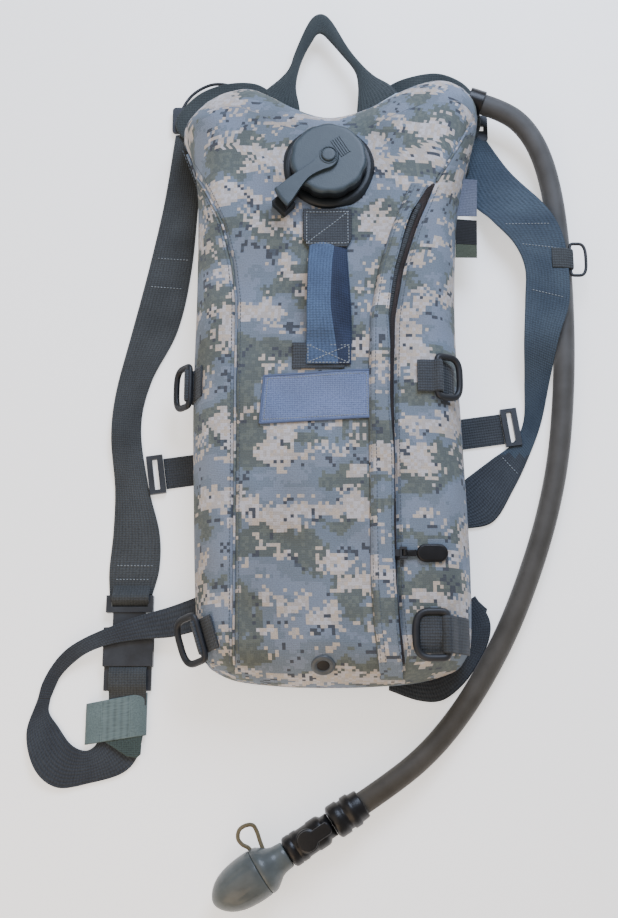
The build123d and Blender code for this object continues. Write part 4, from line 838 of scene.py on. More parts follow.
capSet = {"low": 67.0, "lobes": 11, "lobeDepth": 0.034, "lobeTop": 10.6, "rimTall": 8.6}
ribSet = {"count": 5, "first": 9.0, "pitch": 1.9, "shift": 2.8, "halfLong": 8, "halfWide": 0.45, "tall": 0.75}
collarStations = [(-0.6, 27), (-0.6, 36.2), (0.6, 36.6), (1.6, 35.6), (3.2, 35.0), (4.2, 33.8), (4.6, 32.4),
                  (4.6, 27.2), (2.0, 26.6), (-0.6, 27)]
collar = turnedPiece("portCollar", collarStations, (*port, front), (0, 0, 1), shadedRimAndCollar, 128)
finishPiece(collar, "pack")
finishPiece(refinedCopy("port_collar", shadedRimAndCollar, 0.4), "pack", ["port_collar"])


def lobes(angle, z):
    # finger scallops: the rim drawn in between the lobes by a raised cosine
    wave = np.clip(0.5 - 0.5 * np.cos(capSet["lobes"] * angle), 0, 1) ** 2.2
    fade = np.clip(1 - np.maximum(z - capSet["lobeTop"], 0) / 1.6, 0.25, 1)
    return 1 - capSet["lobeDepth"] * wave * fade


capLow = capSet["low"]
capStations = [(0, 26.8), (0, 29.4), (0.6, 30.0), (9.2, 30.0), (10.6, 29.6), (11.5, 28.6), (11.8, 27.8),
               (12.0, 26.6), (12.0, 25.4), (11.9, 12), (11.9, 0.001)]
cap = turnedPiece("fillCap", capStations, (*port, capLow), (0, 0, 1), capPlastic, 264,
                  radial=lambda a, z: np.where(z < 11.95, lobes(a, z), 1.0))
# the cap's lower rim takes the darker plastic as painted shade
cap.data.materials.append(shadedRimAndCollar)
capCentres = np.array([f.center for f in cap.data.polygons])
shadedRimFace = capCentres[:, 2] / mm < capLow + capSet["rimTall"]
cap.data.polygons.foreach_set("material_index", shadedRimFace.astype(int))
finishPiece(cap, "cap", ["fill_cap"])
ribAlong = np.array([0.53, -0.85])
ribAcross = np.array([0.85, 0.53])
for k in range(ribSet["count"]):
    middle = np.array(port) + (ribSet["first"] + ribSet["pitch"] * k) * ribAcross - ribSet["shift"] * ribAlong
    a, b = ribAlong * ribSet["halfLong"], ribAcross * ribSet["halfWide"]
    corners = [middle - a - b, middle + a - b, middle + a + b, middle - a + b]
    rib = platePiece("capGripRib" + str(k + 1), corners, ribSet["tall"], capLow + 11.8, capPlastic, edge=0.3)
    finishPiece(rib, "cap")
armOutline = [(-1, 188.6), (-6.5, 186.4), (-9.5, 181), (-13, 176.3), (-26, 166.6), (-40, 155),
              (-42.6, 151.5), (-34.6, 140), (-31, 141), (-20.4, 157.5), (-14, 164.2), (-5, 169), (3, 172.4),
              (6.7, 178), (6.6, 183.4), (3.6, 187.4)]
arm = platePiece("capTetherArm", armOutline, 3.4, capLow + 12.1, capPlastic, closedCurve=True, edge=1.0,
                 middle=(-16, 165))
finishPiece(arm, "cap_lift", ["cap_tether_arm"])
armEnd = [(-42, 152.5), (-33.5, 139.8), (-25, 150), (-32, 161)]
finishPiece(platePiece("capHingeBlock", armEnd, 8.6, front + 10.3, valvePlastic, edge=1.0), "cap_lift")
finishPiece(turnedPiece("capRivetRing", [(15.4, 7.4), (16.0, 7.2), (16.1, 6.8), (15.9, 6.2), (15.5, 6.0),
                                         (15.4, 7.4)], (*port, capLow), (0, 0, 1), capPlastic, 48),
            "cap_lift")
for node, mat, bevel, slot in (("cap_rivet", capPlastic, 0.35, "cap_plastic"),
                               ("cap_gasket", silicone, 0.3, "silicone")):
    finishPiece(refinedCopy(node, mat, bevel), bodyOf[node], [node])
print("fill port made")

# storm flap over the zipper, the coil under it, and the slider with its pull

flapSet = {"root": -19.0, "edge": -4.6, "top": 166.0, "bottom": -216.0, "rise": 4.4, "thick": 1.4,
           "open": 4.6, "lowShift": 2.4}
flapY = np.linspace(flapSet["top"], flapSet["bottom"], 260)
share = np.linspace(0, 1, 26)
lowShift = flapSet["lowShift"] * np.clip((20 - flapY) / 60, 0, 1)
gape = flapSet["open"] * np.clip((flapY - 30) / 90, 0, 1) * np.clip((flapSet["top"] - flapY) / 26, 0, 1)
flapEdge = flapSet["edge"] + lowShift - gape
flapReach = (flapEdge - flapSet["root"])[:, None] * share[None]
flapX = seamX("rightSeam", flapY)[:, None] + flapSet["root"] + flapReach
flapX = flapX + 0.5 * np.sin(flapY / 14.0)[:, None] * share[None] ** 2
flapRows = np.broadcast_to(flapY[:, None], flapX.shape)
taper = np.clip((flapSet["top"] - flapY) / 30, 0, 1) * np.clip((flapY - flapSet["bottom"]) / 34, 0, 1)
lift = 0.5 + flapSet["rise"] * np.clip(share / 0.22, 0, 1)[None] ** 0.7 * np.clip(taper, 0.1, 1)[:, None]
lift = lift + 0.35 * np.sin(flapY / 9.0 + 0.8 * np.sin(flapY / 31))[:, None] * share[None] ** 2
lift = lift - 0.9 * np.clip((share - 0.85) / 0.15, 0, 1)[None] ** 2
flapBase = bagHeight(flapX, flapRows)
flapBase = np.maximum(flapBase, bagHeight(flapX - 3.0, flapRows) - 1.0)
flapGrid = np.stack([flapX, flapRows, flapBase + lift], axis=2)[::-1]
flap = thickSheet("stormFlap", flapGrid, flapSet["thick"], camo, panelUv(flapGrid, (411, 90)))
finishPiece(flap, "pack", ["storm_flap"])


def onBag(points, offset, count=200):
    # a path over the cloth at an offset above it
    p = curvePoints(points, count)
    return np.concatenate([p, (bagHeight(p[:, 0], p[:, 1]) + offset)[:, None]], axis=1)


def clothFrame(x, y):
    # a point of the cloth and its normal by small steps
    h = [float(bagHeight(np.array([x + a]), np.array([y + b]))[0]) for a, b in ((0, 0), (1, 0), (0, 1))]
    return np.array([x, y, h[0]]), unit(np.array([h[0] - h[1], h[0] - h[2], 1.0]))


# the tape strip's dark colour is partly the tape's own and partly painted shade under the flap
tapeSet = {"top": 168, "bottom": -206, "slope": 26, "thick": 0.5}
tapeY = np.linspace(tapeSet["top"], tapeSet["bottom"], 240)
tapeLeft = -1.2 - 12.3 * np.clip((tapeSet["top"] - tapeY) / tapeSet["slope"], 0, 1) ** 0.8
tapeX = seamX("rightSeam", tapeY)[:, None] - 0.4 + tapeLeft[:, None] * np.linspace(1, 0, 12)[None]
tapeRows = np.broadcast_to(tapeY[:, None], tapeX.shape)
tapeSag = 0.35 + 0.5 * np.linspace(1, 0, 12)[None] * np.clip((tapeSet["top"] - tapeRows) / 20, 0, 1)
tapeGrid = np.stack([tapeX, tapeRows, bagHeight(tapeX, tapeRows) + tapeSag], axis=2)[::-1]
tapeUv = np.stack([tapeGrid[..., 1], tapeGrid[..., 0]], axis=-1)
finishPiece(thickSheet("zipperTapeStrip", tapeGrid, tapeSet["thick"], zipTapeAndShade, tapeUv), "pack")
coilSet = {"rows": 700, "columns": 9, "half": 2.6, "crown": 0.5, "tooth": 0.25, "thick": 0.7, "step": 0.5}
coilPath = [(float(seamX("rightSeam", y) - bag["zipWidth"] / 2), float(y))
            for y in np.linspace(150, -190, 40)]
coil = onBag(coilPath, 0.8, coilSet["rows"])
side = unit(np.cross(np.gradient(coil, axis=0), [0, 0, 1.0]))
coilAcross = np.linspace(-coilSet["half"], coilSet["half"], coilSet["columns"])
coilGrid = coil[:, None] + side[:, None] * coilAcross[None, :, None]
coilTeeth = coilSet["tooth"] * np.sign(np.sin(np.arange(coilSet["rows"]) * 1.9))
coilGrid[..., 2] += coilSet["crown"] * np.cos(np.linspace(-1.4, 1.4,
                                                          coilSet["columns"]))[None] + coilTeeth[:, None]
coilUv = np.stack(np.broadcast_arrays(np.arange(coilSet["rows"])[:, None] * coilSet["step"],
                                      np.linspace(0, 2 * coilSet["half"], coilSet["columns"])[None]), axis=-1)
finishPiece(thickSheet("zipperCoilStrip", coilGrid, coilSet["thick"], zipperNylon, coilUv), "pack",
            ["zipper_chain"])
carried("zipper_slider", ringNylon, 0.25)
carried("zipper_pull_tape", valvePlastic, 0.2)
carried("zipper_pull_grip", valvePlastic, 0.4)
print("zipper made")

# corded piping and topstitching along the seams

topThread = {"pitch": 3.0, "long": 2.3, "thick": 0.26}
tackThread = {"pitch": 2.6, "long": 1.7, "thick": 0.28}
leftPath = [(float(seamX("leftSeam", y)), float(y)) for y in np.linspace(205, -206, 40)]
rightTopPath = [(float(seamX("rightSeam", y)), float(y)) for y in np.linspace(230, 170, 10)]
rightLowPath = [(float(seamX("rightSeam", y)), float(y)) for y in np.linspace(166, -206, 36)]
finishPiece(rodPiece("leftSeamPiping", onBag(leftPath, 0.9, 420), 0.95, camo), "pack")
finishPiece(rodPiece("rightShoulderPiping", onBag(rightTopPath, 0.9, 120), 0.95, camo), "pack")
for name, path, shift in (("leftSeamStitch", leftPath, 3.4), ("leftSeamStitchOuter", leftPath, -3.2),
                          ("rightSeamStitch", rightLowPath, 3.2)):
    row = onBag([(x + shift, y) for x, y in path], 0.25, 500)
    finishPiece(stitchRow(name, row, (0, 0, 1), threadDark, **topThread), "pack")
for name, column in (("flapEdgeStitch", 23), ("flapRootStitch", 2), ("flapFoldStitch", 7)):
    row = flapGrid[:, column] + np.array([0, 0, 0.85])
    finishPiece(stitchRow(name, row, (0, 0, 1), threadDark, **topThread), "pack")

# the pieces sewn on the front: loop, its tabs, the blank patch, tags, ring tabs, and the handle


def overCloth(gap):
    # the height of a piece's underside, a gap above the cloth
    return lambda x, y: bagHeight(x, y) + gap


upperTabOutline = [(-21, 144), (-21, 119), (-16.5, 112), (13.5, 112), (17, 119), (17, 144)]
lowerTabOutline = [(-29, 14), (11, 14), (11, 34), (-29, 34)]
finishPiece(platePiece("upperLoopTab", upperTabOutline, 1.5, overCloth(2.0), webGreen, edge=0.7), "pack",
            ["loop_tabs"])
finishPiece(platePiece("lowerLoopTab", lowerTabOutline, 1.7, overCloth(0.1), webGreen, edge=0.7), "pack",
            ["loop_tabs"])
# the loop's rows: y, its left edge, its fold, its right edge, and the heights of its upper and turned faces
loopRows = [(141, -16, 3, 13, 63.3, 63.3), (127, -16, 3, 13, 63.6, 63.5), (112, -16, 3, 13, 64.6, 63.0),
            (98, -17, 1.5, 13.5, 69.0, 62.8), (80, -17.5, 0.5, 14.5, 73.4, 63.0),
            (62, -18, 0, 15.5, 73.6, 63.2), (46, -18, 2, 16, 70.0, 63.2), (34, -18.5, 4, 16, 65.2, 63.6),
            (17, -18.5, 6, 15.5, 64.2, 64.0)]
loopLine = curvePoints(loopRows, 110)
spread = np.concatenate([np.linspace(0, 1, 15), 1 + np.linspace(0, 1, 11)[1:]])
loopY, loopA, loopB, loopC, loopTop, loopLow = (loopLine[:, k][:, None] for k in range(6))
inLeft, inRight = np.clip(spread, 0, 1)[None], np.clip(spread - 1, 0, 1)[None]
loopX = loopA + (loopB - loopA) * inLeft + (loopC - loopB) * inRight
loopZ = loopTop + 0.5 * np.sin(inLeft * np.pi) + (loopLow - loopTop) * inRight ** 1.3
loopGrid = np.stack([loopX, np.broadcast_to(loopY, loopX.shape), loopZ], axis=2)[::-1]
loopUv = np.stack(np.broadcast_arrays(loopY[::-1], spread[None] * 17.0), axis=-1)
loop = thickSheet("frontLoopStrap", loopGrid, 1.6, webBlue, loopUv)
# faces past the fold get the darker copy as painted shade
loop.data.materials.append(webTurnedShade)
loopCentres = np.array([f.center for f in loop.data.polygons]) / mm
turnedShade = loopCentres[:, 0] > np.interp(loopCentres[:, 1], loopLine[::-1, 0], loopLine[::-1, 2])
loop.data.polygons.foreach_set("material_index", turnedShade.astype(int))
finishPiece(loop, "pack", ["front_loop_strap"])
for k, (x0, x1, y0, y1, height) in enumerate([(-18, 14, 115, 141, 2.0 + 1.6), (-17, 14, 18, 32, 0)]):
    corners = [(x0, y0), (x1, y0), (x1, y1), (x0, y1), (x0, y0),
               (x1, y1)] + ([(x1, y0), (x0, y1)] if k else [])
    p = np.vstack([np.linspace(a, b, 20) for a, b in zip(corners[:-1], corners[1:])])
    z = bagHeight(p[:, 0], p[:, 1]) + height if height else np.where(p[:, 0] < 5, 65.75, 65.2)
    row = stitchRow("loopBoxStitch" + str(k + 1), np.column_stack([p, z]), (0, 0, 1), threadPale)
    finishPiece(row, "pack")

patchOutline = [(-53, -29), (30.5, -24), (30, 13), (-50, 8)]
finishPiece(platePiece("blankPatch", patchOutline, 1.3, overCloth(0.15), patchCloth, edge=0.8), "pack",
            ["blank_patch"])
ring = np.array(patchOutline + patchOutline[:1], float)
rimPath = np.vstack([np.linspace(a, b, 60) for a, b in zip(ring[:-1], ring[1:])])
rimPath = np.column_stack([rimPath, bagHeight(rimPath[:, 0], rimPath[:, 1]) + 1.35])
merrow = stitchRow("patchMerrowEdge", rimPath, (0, 0, 1), patchEdge, pitch=0.95, long=1.5, thick=0.75)
finishPiece(merrow, "pack")
innerRing = (ring - ring[:-1].mean(axis=0)) * np.array([0.93, 0.87]) + ring[:-1].mean(axis=0)
innerPath = np.vstack([np.linspace(a, b, 60) for a, b in zip(innerRing[:-1], innerRing[1:])])
innerPath = np.column_stack([innerPath, bagHeight(innerPath[:, 0], innerPath[:, 1]) + 1.6])
finishPiece(stitchRow("patchStitch", innerPath, (0, 0, 1), threadPale, pitch=2.2, long=1.7, thick=0.28),
            "pack")

tagSet = {"upper": ([(103, 154), (120, 155), (121, 187), (104, 187)], 30.5, tagCloth),
          "lower": ([(101.6, 129.5), (119.3, 130), (120, 152), (103, 152)], 29.5, tagBlack),
          "lowerEnd": ([(101, 118), (119, 119), (119.3, 130.2), (101.6, 129.7)], 29.4, tagGreen)}
for name, (outline, height, mat) in tagSet.items():
    base = lambda x, y, h=height: h - (x - 103) * 0.16 + 0.5 * np.sin(y / 9)
    finishPiece(platePiece(name + "Tag", outline, 0.8, base, mat, edge=0.3), "pack", ["sewn_tags"])

handleOuter = [(-66, 252, 20), (-55, 270, 21), (-41, 284, 20), (-33, 295, 19), (-28, 311, 18),
               (-19, 334, 18), (-12, 345, 18), (-4, 347, 18), (4, 339, 18), (17, 315, 18), (28, 299, 19),
               (39, 287, 20), (54, 276, 21), (66, 258, 20)]
handleInner = [(-23, 236, 20), (-24, 256, 21), (-27, 275, 20), (-25, 292, 19), (-20, 308, 18),
               (-13, 322, 18), (-9, 328, 18), (-5, 328, 18), (0, 323, 18), (11, 309, 18), (22, 293, 19),
               (25, 277, 20), (24, 256, 21), (22, 236, 20)]
handle = strapPiece("grabHandleWebbing", handleOuter, handleInner, 3.2, yokeCloth, 200, camber=1.6)
finishPiece(handle, "pack", ["grab_handle"])
print("sewn pieces made")

# shoulder straps, lower webbing, keeper and chest strap

leftEdgeA = [(-129, 240, 4.7), (-137, 178, 3.4), (-149, 116, 1.6), (-160, 66, 1.6), (-171, 14, 3.0),
             (-173, -24, 7.0), (-169, -66, 2.2), (-169, -100, 1.6), (-171, -130, 1.6), (-170, -150, 1.6)]
leftEdgeB = [(-104, 240, 4.7), (-108, 183, 3.4), (-113, 118, 1.6), (-123, 66, 1.6), (-143, 22, 2.4),
             (-150, -16, 1.5), (-143, -62, 1.8), (-133, -100, 1.6), (-132, -128, 1.6), (-137, -150, 1.6)]
leftStrap = strapPiece("leftShoulderWebbing", leftEdgeA, leftEdgeB, 2.3, webStrap, 220, ripple=0.12)
finishPiece(leftStrap, "pack", ["left_shoulder_strap"])
rightEdgeA = [(105, 240, 4.7), (116, 184, 6.0), (133, 155, 20.5), (150, 134, 22.3), (158, 112, 22.3),
              (157, 85, 22.3), (155, 52, 21.0), (156, 20, 8.0), (155, -10, 2.2), (146, -28, 1.7),
              (128, -42, 1.6), (107, -58, 1.6), (84, -77, 1.6)]
rightEdgeB = [(132, 238, 4.7), (152, 206, 6.0), (176, 170, 20.5), (188, 148, 22.3), (193, 122, 22.3),
              (192.5, 84, 22.3), (183, 54, 21.0), (177, 24, 8.0), (169, -12, 2.2), (158, -40, 1.7),
              (145, -66, 1.6), (128, -92, 1.6), (104, -98, 1.6)]
rightStrap = strapPiece("rightShoulderWebbing", rightEdgeA, rightEdgeB, 2.3, webRight, 240, ripple=0.12)
# the strap's lower run takes the darker lower webbing as painted shade where it turns under
rightStrap.data.materials.append(lowWebbingAndShade)
shadedLowRun = np.array([f.center[1] for f in rightStrap.data.polygons]) / mm < -38
rightStrap.data.polygons.foreach_set("material_index", shadedLowRun.astype(int))
finishPiece(rightStrap, "pack", ["right_shoulder_strap"])


def strapRows(name, edgeA, edgeB, places, mat, offset=1.35, count=220, inner=0.09):
    # bar tacks: rows of thread across a strap at shares of its length
    a, b = curvePoints(edgeA, count), curvePoints(edgeB, count)
    for k, place in enumerate(places):
        i = int(place * (count - 1))
        across = b[i] - a[i]
        path = a[i] + across * np.linspace(inner, 1 - inner, 30)[:, None]
        path[:, 2] += offset
        finishPiece(stitchRow(name + str(k + 1), path, (0, 0, 1), mat, **tackThread), "pack")


strapRows("leftStrapTack", leftEdgeA, leftEdgeB, [0.285, 0.35, 0.945, 0.972], threadPale, inner=0.14)
strapRows("rightStrapTack", rightEdgeA, rightEdgeB, [0.27, 0.33, 0.44, 0.83], threadPale, inner=0.14)

ladderEnd, mainWeb = -222.8, 28.4
overBarA = [(-167, -143, 2.6), (-167, -148, 6.5), (-167, -150.6, 9.9), (-167, -154, 9.9), (-167, -157, 7.0),
            (-167, -159.4, 3.4)]
ladderA = [(-167.3, -203.5, 5.0), (-167.3, -205.5, 8.0), (-167.2, -209.5, 9.9), (-167.1, -214, 10.2),
           (-167, -219, 9.9), (-167, -224, 7.0), (-167, -228, 5.6), (-167, -233, 5.4)]
for name, edge, body in (("leftStrapOverBar", overBarA, "pack"),
                         ("leftTailThroughLadder", ladderA, "left_buckle")):
    other = [(x + mainWeb, y, z) for x, y, z in edge]
    finishPiece(strapPiece(name, edge, other, 1.5, webStrap, 60, camber=0.3), body)
keeper = {"x0": -184.0, "x1": -138.0, "y0": -262.0, "y1": -224.5, "floor": 0.3, "tall": 7.0, "wall": 1.4,
          "rows": 40, "around": 72}
tailOuter = [(-139.5, ladderEnd, 2.7), (-139.5, -238, 2.7), (-140.5, -254, 2.7), (-145, -272, 2.4),
             (-156, -283, 2.2), (-178, -289.5, 2.0), (-203, -293, 3.2), (-220, -280, 6.0),
             (-228, -254, 4.0), (-221, -228, 2.8)]
tailInner = [(-167.5, ladderEnd, 2.7), (-167.5, -236, 2.7), (-169, -246, 2.7), (-173, -257, 2.7),
             (-178, -264, 2.6), (-185, -266, 2.4), (-195, -261, 2.0), (-205, -248, 1.8), (-212, -238, 1.8),
             (-211.5, -228, 2.4)]
tail = strapPiece("leftTailWebbing", tailOuter, tailInner, 1.7, lowWebbingAndShade, 160)
finishPiece(tail, "left_buckle", ["left_tail_webbing"])
lowerOuter = [(-221, -228.2, 2.8), (-218, -216, 3.0), (-211, -203, 4.0), (-201, -192, 7.0),
              (-188, -184, 10.5), (-170, -176, 12.0), (-146, -167, 12.4), (-122, -160, 14.0),
              (-103, -154, 20.0), (-98, -152, 24.0)]
lowerInner = [(-211.5, -228.2, 2.4), (-208, -219, 2.8), (-204, -211, 3.6), (-195, -202, 6.5),
              (-183, -194, 10.0), (-166, -188, 11.0), (-143, -184.5, 11.6), (-121, -183, 13.5),
              (-105, -180, 19.0), (-97, -178, 24.0)]
lower = strapPiece("leftLowerWebbing", lowerOuter, lowerInner, 1.7, lowWebbingAndShade, 160)
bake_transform(lower)
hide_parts("left_lower_webbing")

# the keeper: a flattened oval carried along it, with both ends cut on the slant
bandT = np.linspace(0, 2 * np.pi, keeper["around"], endpoint=False)[None, :]
halfX, halfZ = (keeper["x1"] - keeper["x0"]) / 2, (keeper["tall"] - keeper["floor"]) / 2
bandX = (keeper["x0"] + keeper["x1"]) / 2 + halfX * np.sign(np.cos(bandT)) * np.abs(np.cos(bandT)) ** 0.35
bandZ = keeper["floor"] + halfZ + halfZ * np.sign(np.sin(bandT)) * np.abs(np.sin(bandT)) ** 0.75
bandShare = np.linspace(0, 1, keeper["rows"])[:, None]
over = (bandX - keeper["x0"]) / (keeper["x1"] - keeper["x0"])
lowY, highY = keeper["y0"] + 7.0 * over, keeper["y1"] - 7.5 + 8.5 * over
band = np.stack(np.broadcast_arrays(bandX, lowY + (highY - lowY) * bandShare, bandZ), axis=-1)
bandUv = np.stack(np.broadcast_arrays(np.linspace(0, 110, keeper["around"])[None, :],
                                      np.linspace(0, 37, keeper["rows"])[:, None]), axis=-1)
bandMesh = makeObject("strapKeeperBand", band.reshape(-1, 3),
                      gridFaces(keeper["rows"], keeper["around"], wrap=True), keeperCloth,
                      bandUv.reshape(-1, 2))
fixNormals(bandMesh)
pile = [(-170, -259), (-141, -252.5), (-141.5, -269), (-144.5, -271.5), (-152, -270.5)]
finishPiece(platePiece("keeperPileEnd", pile, 1.8, 4.6, keeperPile, edge=0.7), "left_buckle")
wall = bandMesh.modifiers.new("wall", "SOLIDIFY")
wall.thickness = keeper["wall"] * mm
wall.offset = -1.0
finishPiece(bandMesh, "left_buckle", ["strap_keeper"])

underA = [(71.3, -165.2, 1.0), (84, -167, 1.0), (97, -160, 1.0), (110, -152, 1.0), (121, -160, 1.4)]
underB = [(46.3, -152.6, 1.0), (52, -184, 1.0), (80, -193, 1.0), (102, -193, 1.0), (114, -184, 1.4)]
overA = [(112, -150, 1.6), (122, -168, 3.5), (121, -184, 5.0), (112, -202, 4.6), (100, -218, 4.4),
         (84, -229.5, 4.2), (66, -229.5, 4.2), (44, -222, 4.2)]
overB = [(98, -160, 1.6), (106, -170, 3.5), (107, -181, 4.6), (101, -193, 4.2), (88, -203, 4.0),
         (74, -206, 4.0), (60, -205, 4.0), (46, -199, 4.0)]
finishPiece(strapPiece("rightLowerWebbing", overA, overB, 1.7, lowWebbingAndShade, 160), "pack",
            ["right_lower_webbing"])
finishPiece(strapPiece("rightLowerUnderlap", underA, underB, 1.5, lowWebbingAndShade, 80), "pack")


def onFrame(frameAt, heading, x, y):
    # a place in a buckle's own frame, whose Y axis lies at the heading
    turn = math.radians(heading - 90)
    return (frameAt[0] + x * math.cos(turn) - y * math.sin(turn),
            frameAt[1] + x * math.sin(turn) + y * math.cos(turn))


sternum = {"at": (-35.7, -40.4), "heading": 187.8, "web": 25.0, "buckle": 72.0, "left": 95.0, "right": 103.0}
for name, y0, y1 in (("left", 0.3, 0.3 + sternum["left"]),
                     ("right", -sternum["buckle"] - 0.3 - sternum["right"], -sternum["buckle"] - 0.3)):
    ys = np.linspace(y0, y1, 8)
    edges = [[(*onFrame(sternum["at"], sternum["heading"], s * sternum["web"] / 2, y), 1.1) for y in ys]
             for s in (-1, 1)]
    finishPiece(strapPiece(name + "SternumWebbing", edges[0], edges[1], 1.5, webGreen, 90), "pack",
                ["sternum_strap_" + name])
for node in ("left_buckle_plug", "left_buckle_socket", "right_buckle_plug", "right_buckle_socket",
             "sternum_buckle_plug", "sternum_buckle_socket", "sternum_sliders", "strap_sliders"):
    carried(node, buckleNylon, 0.7)
print("straps made")

# D-rings: the wire swept round its loop as a superellipse, and the webbing tab round each bar

# each ring: middle of its bar, heading, tilt, width, reach, wire
ringSet = {"ring_right_middle": ((80.8, 8, 63.4), 0, 25, 37.0, 22.0, 5.2),
           "ring_left_middle": ((-108.5, 8, 38.95), 180, 53, 37.0, 22.0, 5.2),
           "ring_left_lower": ((-95.5, -186.2, 49.73), 197, 42, 38.5, 24.5, 5.3),
           "ring_right_lower": ((83.5, -186, 63.2), 180, -3, 38.5, 26.0, 5.3),
           "ring_strap": ((195.6, 121, 19.4), 0, 0, 30.0, 14.0, 2.6)}


def ringAxes(heading, tilt):
    turn, down = math.radians(heading), math.radians(tilt)
    bar = np.array([-math.sin(turn), math.cos(turn), 0])
    reach = np.array([math.cos(turn) * math.cos(down), math.sin(turn) * math.cos(down), -math.sin(down)])
    return bar, reach, np.cross(reach, bar)


def ringPiece(name, centre, heading, tilt, width, reach, wire):
    # loop: a straight bar, then a rounded far side; the wire's section is a slightly flattened circle
    bar, out, over = ringAxes(heading, tilt)
    half, far = width / 2 - wire / 2, reach - wire / 2
    t = np.linspace(0, 2 * np.pi, 160, endpoint=False)
    c, s = np.cos(t), np.sin(t)
    x = half * np.sign(c) * np.abs(c) ** np.where(s > 0, 0.62, 0.22)
    y = far / 2 + far / 2 * np.sign(s) * np.abs(s) ** np.where(s > 0, 0.72, 0.3)
    path = np.array(centre) + x[:, None] * bar + y[:, None] * out
    along = unit(np.roll(path, -1, axis=0) - np.roll(path, 1, axis=0))
    side = unit(np.cross(along, over))
    a = np.linspace(0, 2 * np.pi, 20, endpoint=False)
    tube = (path[:, None] + side[:, None] * (np.cos(a) * wire / 2)[None, :, None]
            + over[None, None] * (np.sin(a) * wire / 2 * 0.92)[None, :, None])
    faces = gridFaces(160, 20, wrap=True)
    last = [[159 * 20 + k, 159 * 20 + (k + 1) % 20, (k + 1) % 20, k] for k in range(20)]
    obj = makeObject(name, tube.reshape(-1, 3), faces + last, ringNylon)
    fixNormals(obj)
    return obj


def ringTab(name, centre, heading, tilt, wire, wide, reachBack, mat):
    # webbing folded round the bar: down to the cloth in front, round, and back over itself
    bar, out, over = ringAxes(heading, tilt)
    r = wire / 2 + 0.9
    a = np.linspace(-0.5 * np.pi, 0.62 * np.pi, 14)
    fold = np.stack([np.cos(a) * r, -np.sin(a) * r], axis=1)
    back = np.linspace(0.1, 1, 16)
    centre = np.array(centre, float)
    flatOut = unit(np.array([out[0], out[1], 0.0]))
    lines = [centre + out * f[0] + over * f[1] for f in fold]
    start = np.array(lines[0])
    upper = []
    for t in back:
        p = start - flatOut * reachBack * t
        onCloth = float(bagHeight(np.array([p[0]]), np.array([p[1]]))[0]) + 1.9
        ease = min(1.0, t / 0.45)
        ease = ease * ease * (3 - 2 * ease)
        upper.append(np.array([p[0], p[1], start[2] * (1 - ease) + onCloth * ease]))
    line = np.array(upper[::-1] + lines)
    edges = [line + bar * s * wide / 2 for s in (-1, 1)]
    obj = strapPiece(name, edges[0], edges[1], 1.6, mat, 90)
    return finishPiece(obj, "pack", ["ring_tabs"])


for node, facts in ringSet.items():
    finishPiece(ringPiece(node + "_loop", *facts), bodyOf[node], [node])
ringTab("rightMiddleTab", *ringSet["ring_right_middle"][:3], 5.2, 25.0, 17.0, webGreen)
underRing = [(79, -4.8), (95, -5.6), (95.6, 20.2), (79, 20.8)]
finishPiece(platePiece("rightMiddleTabBase", underRing, 1.5, overCloth(0.2), webGreen, edge=0.6), "pack")
underLower = [(63, -199), (84, -199.5), (84, -172.5), (63, -173)]
finishPiece(platePiece("rightLowerTabBase", underLower, 1.4, overCloth(0.2), webGreen, edge=0.6), "pack")
ringTab("leftMiddleTab", *ringSet["ring_left_middle"][:3], 5.2, 25.0, 13.0, webGreen)
ringTab("leftLowerTab", *ringSet["ring_left_lower"][:3], 5.2, 25.0, 14.0, webGreen)
ringTab("rightLowerTab", *ringSet["ring_right_lower"][:3], 5.2, 27.0, 17.0, webGreen)
strapTabA = [(180, 112.5, 23.9), (190, 112.5, 23.6), (197.2, 112.5, 20.6), (196, 112.5, 17.4),
             (190, 112.5, 18.6)]
strapTabB = [(180, 129.5, 23.9), (190, 129.5, 23.6), (197.2, 129.5, 20.6), (196, 129.5, 17.4),
             (190, 129.5, 18.6)]
finishPiece(strapPiece("strapRingTab", strapTabA, strapTabB, 1.4, webStrap, 40), "pack",
            ["ring_tabs"])
wirePoints = [(-124, 262, 4.2), (-116, 278, 4.2), (-100, 288, 4.2), (-84, 287, 4.2), (-80, 277, 4.2),
              (-92, 270, 4.2), (-110, 262, 4.2)]
finishPiece(rodPiece("shoulderAdjusterLoop", closedPoints(wirePoints), 1.3, ringNylon, closed=True), "pack")
print("rings made")

# the drink tube: its route's points are the ones its solid follows

hose = {"diameter": 0.017, "length": 0.646, "exit": (0.129, 0.258, 0.024)}
routePoints = [(129, 258, 24), (147.98, 251.09, 24), (164.9, 237, 21.5), (177.9, 214.5, 16),
               (186.1, 181.5, 10.5), (189.5, 143, 8.8), (190.5, 98, 8.8), (189.5, 50, 8.8), (186, 2, 8.8),
               (180, -44, 8.8), (169.5, -88, 8.8), (154.5, -132, 8.8), (135.5, -177, 8.8), (114, -215, 8.8),
               (93, -245, 9.5), (70, -270, 13), (43.8, -290, 17.8), (19, -306, 17.8)]
curve = bpy.data.curves.new("drinkTube", "CURVE")
curve.dimensions = "3D"
spline = curve.splines.new("NURBS")
spline.points.add(len(routePoints) - 1)
for point, place in zip(spline.points, routePoints):
    point.co = (*[v * mm for v in place], 1.0)
spline.order_u = 3
spline.use_endpoint_u = True
spline.resolution_u = 10
curve.bevel_depth = hose["diameter"] / 2
curve.bevel_resolution = 8
curve.use_fill_caps = True
curve.materials.append(tubeSleeve())
tube = bpy.data.objects.new("drinkTube", curve)
bpy.context.scene.collection.objects.link(tube)
finishPiece(tube, "pack", ["drink_tube"])

# fittings on the tube's end, in line with its last run: coupling, valve and lever, and the covered bite valve

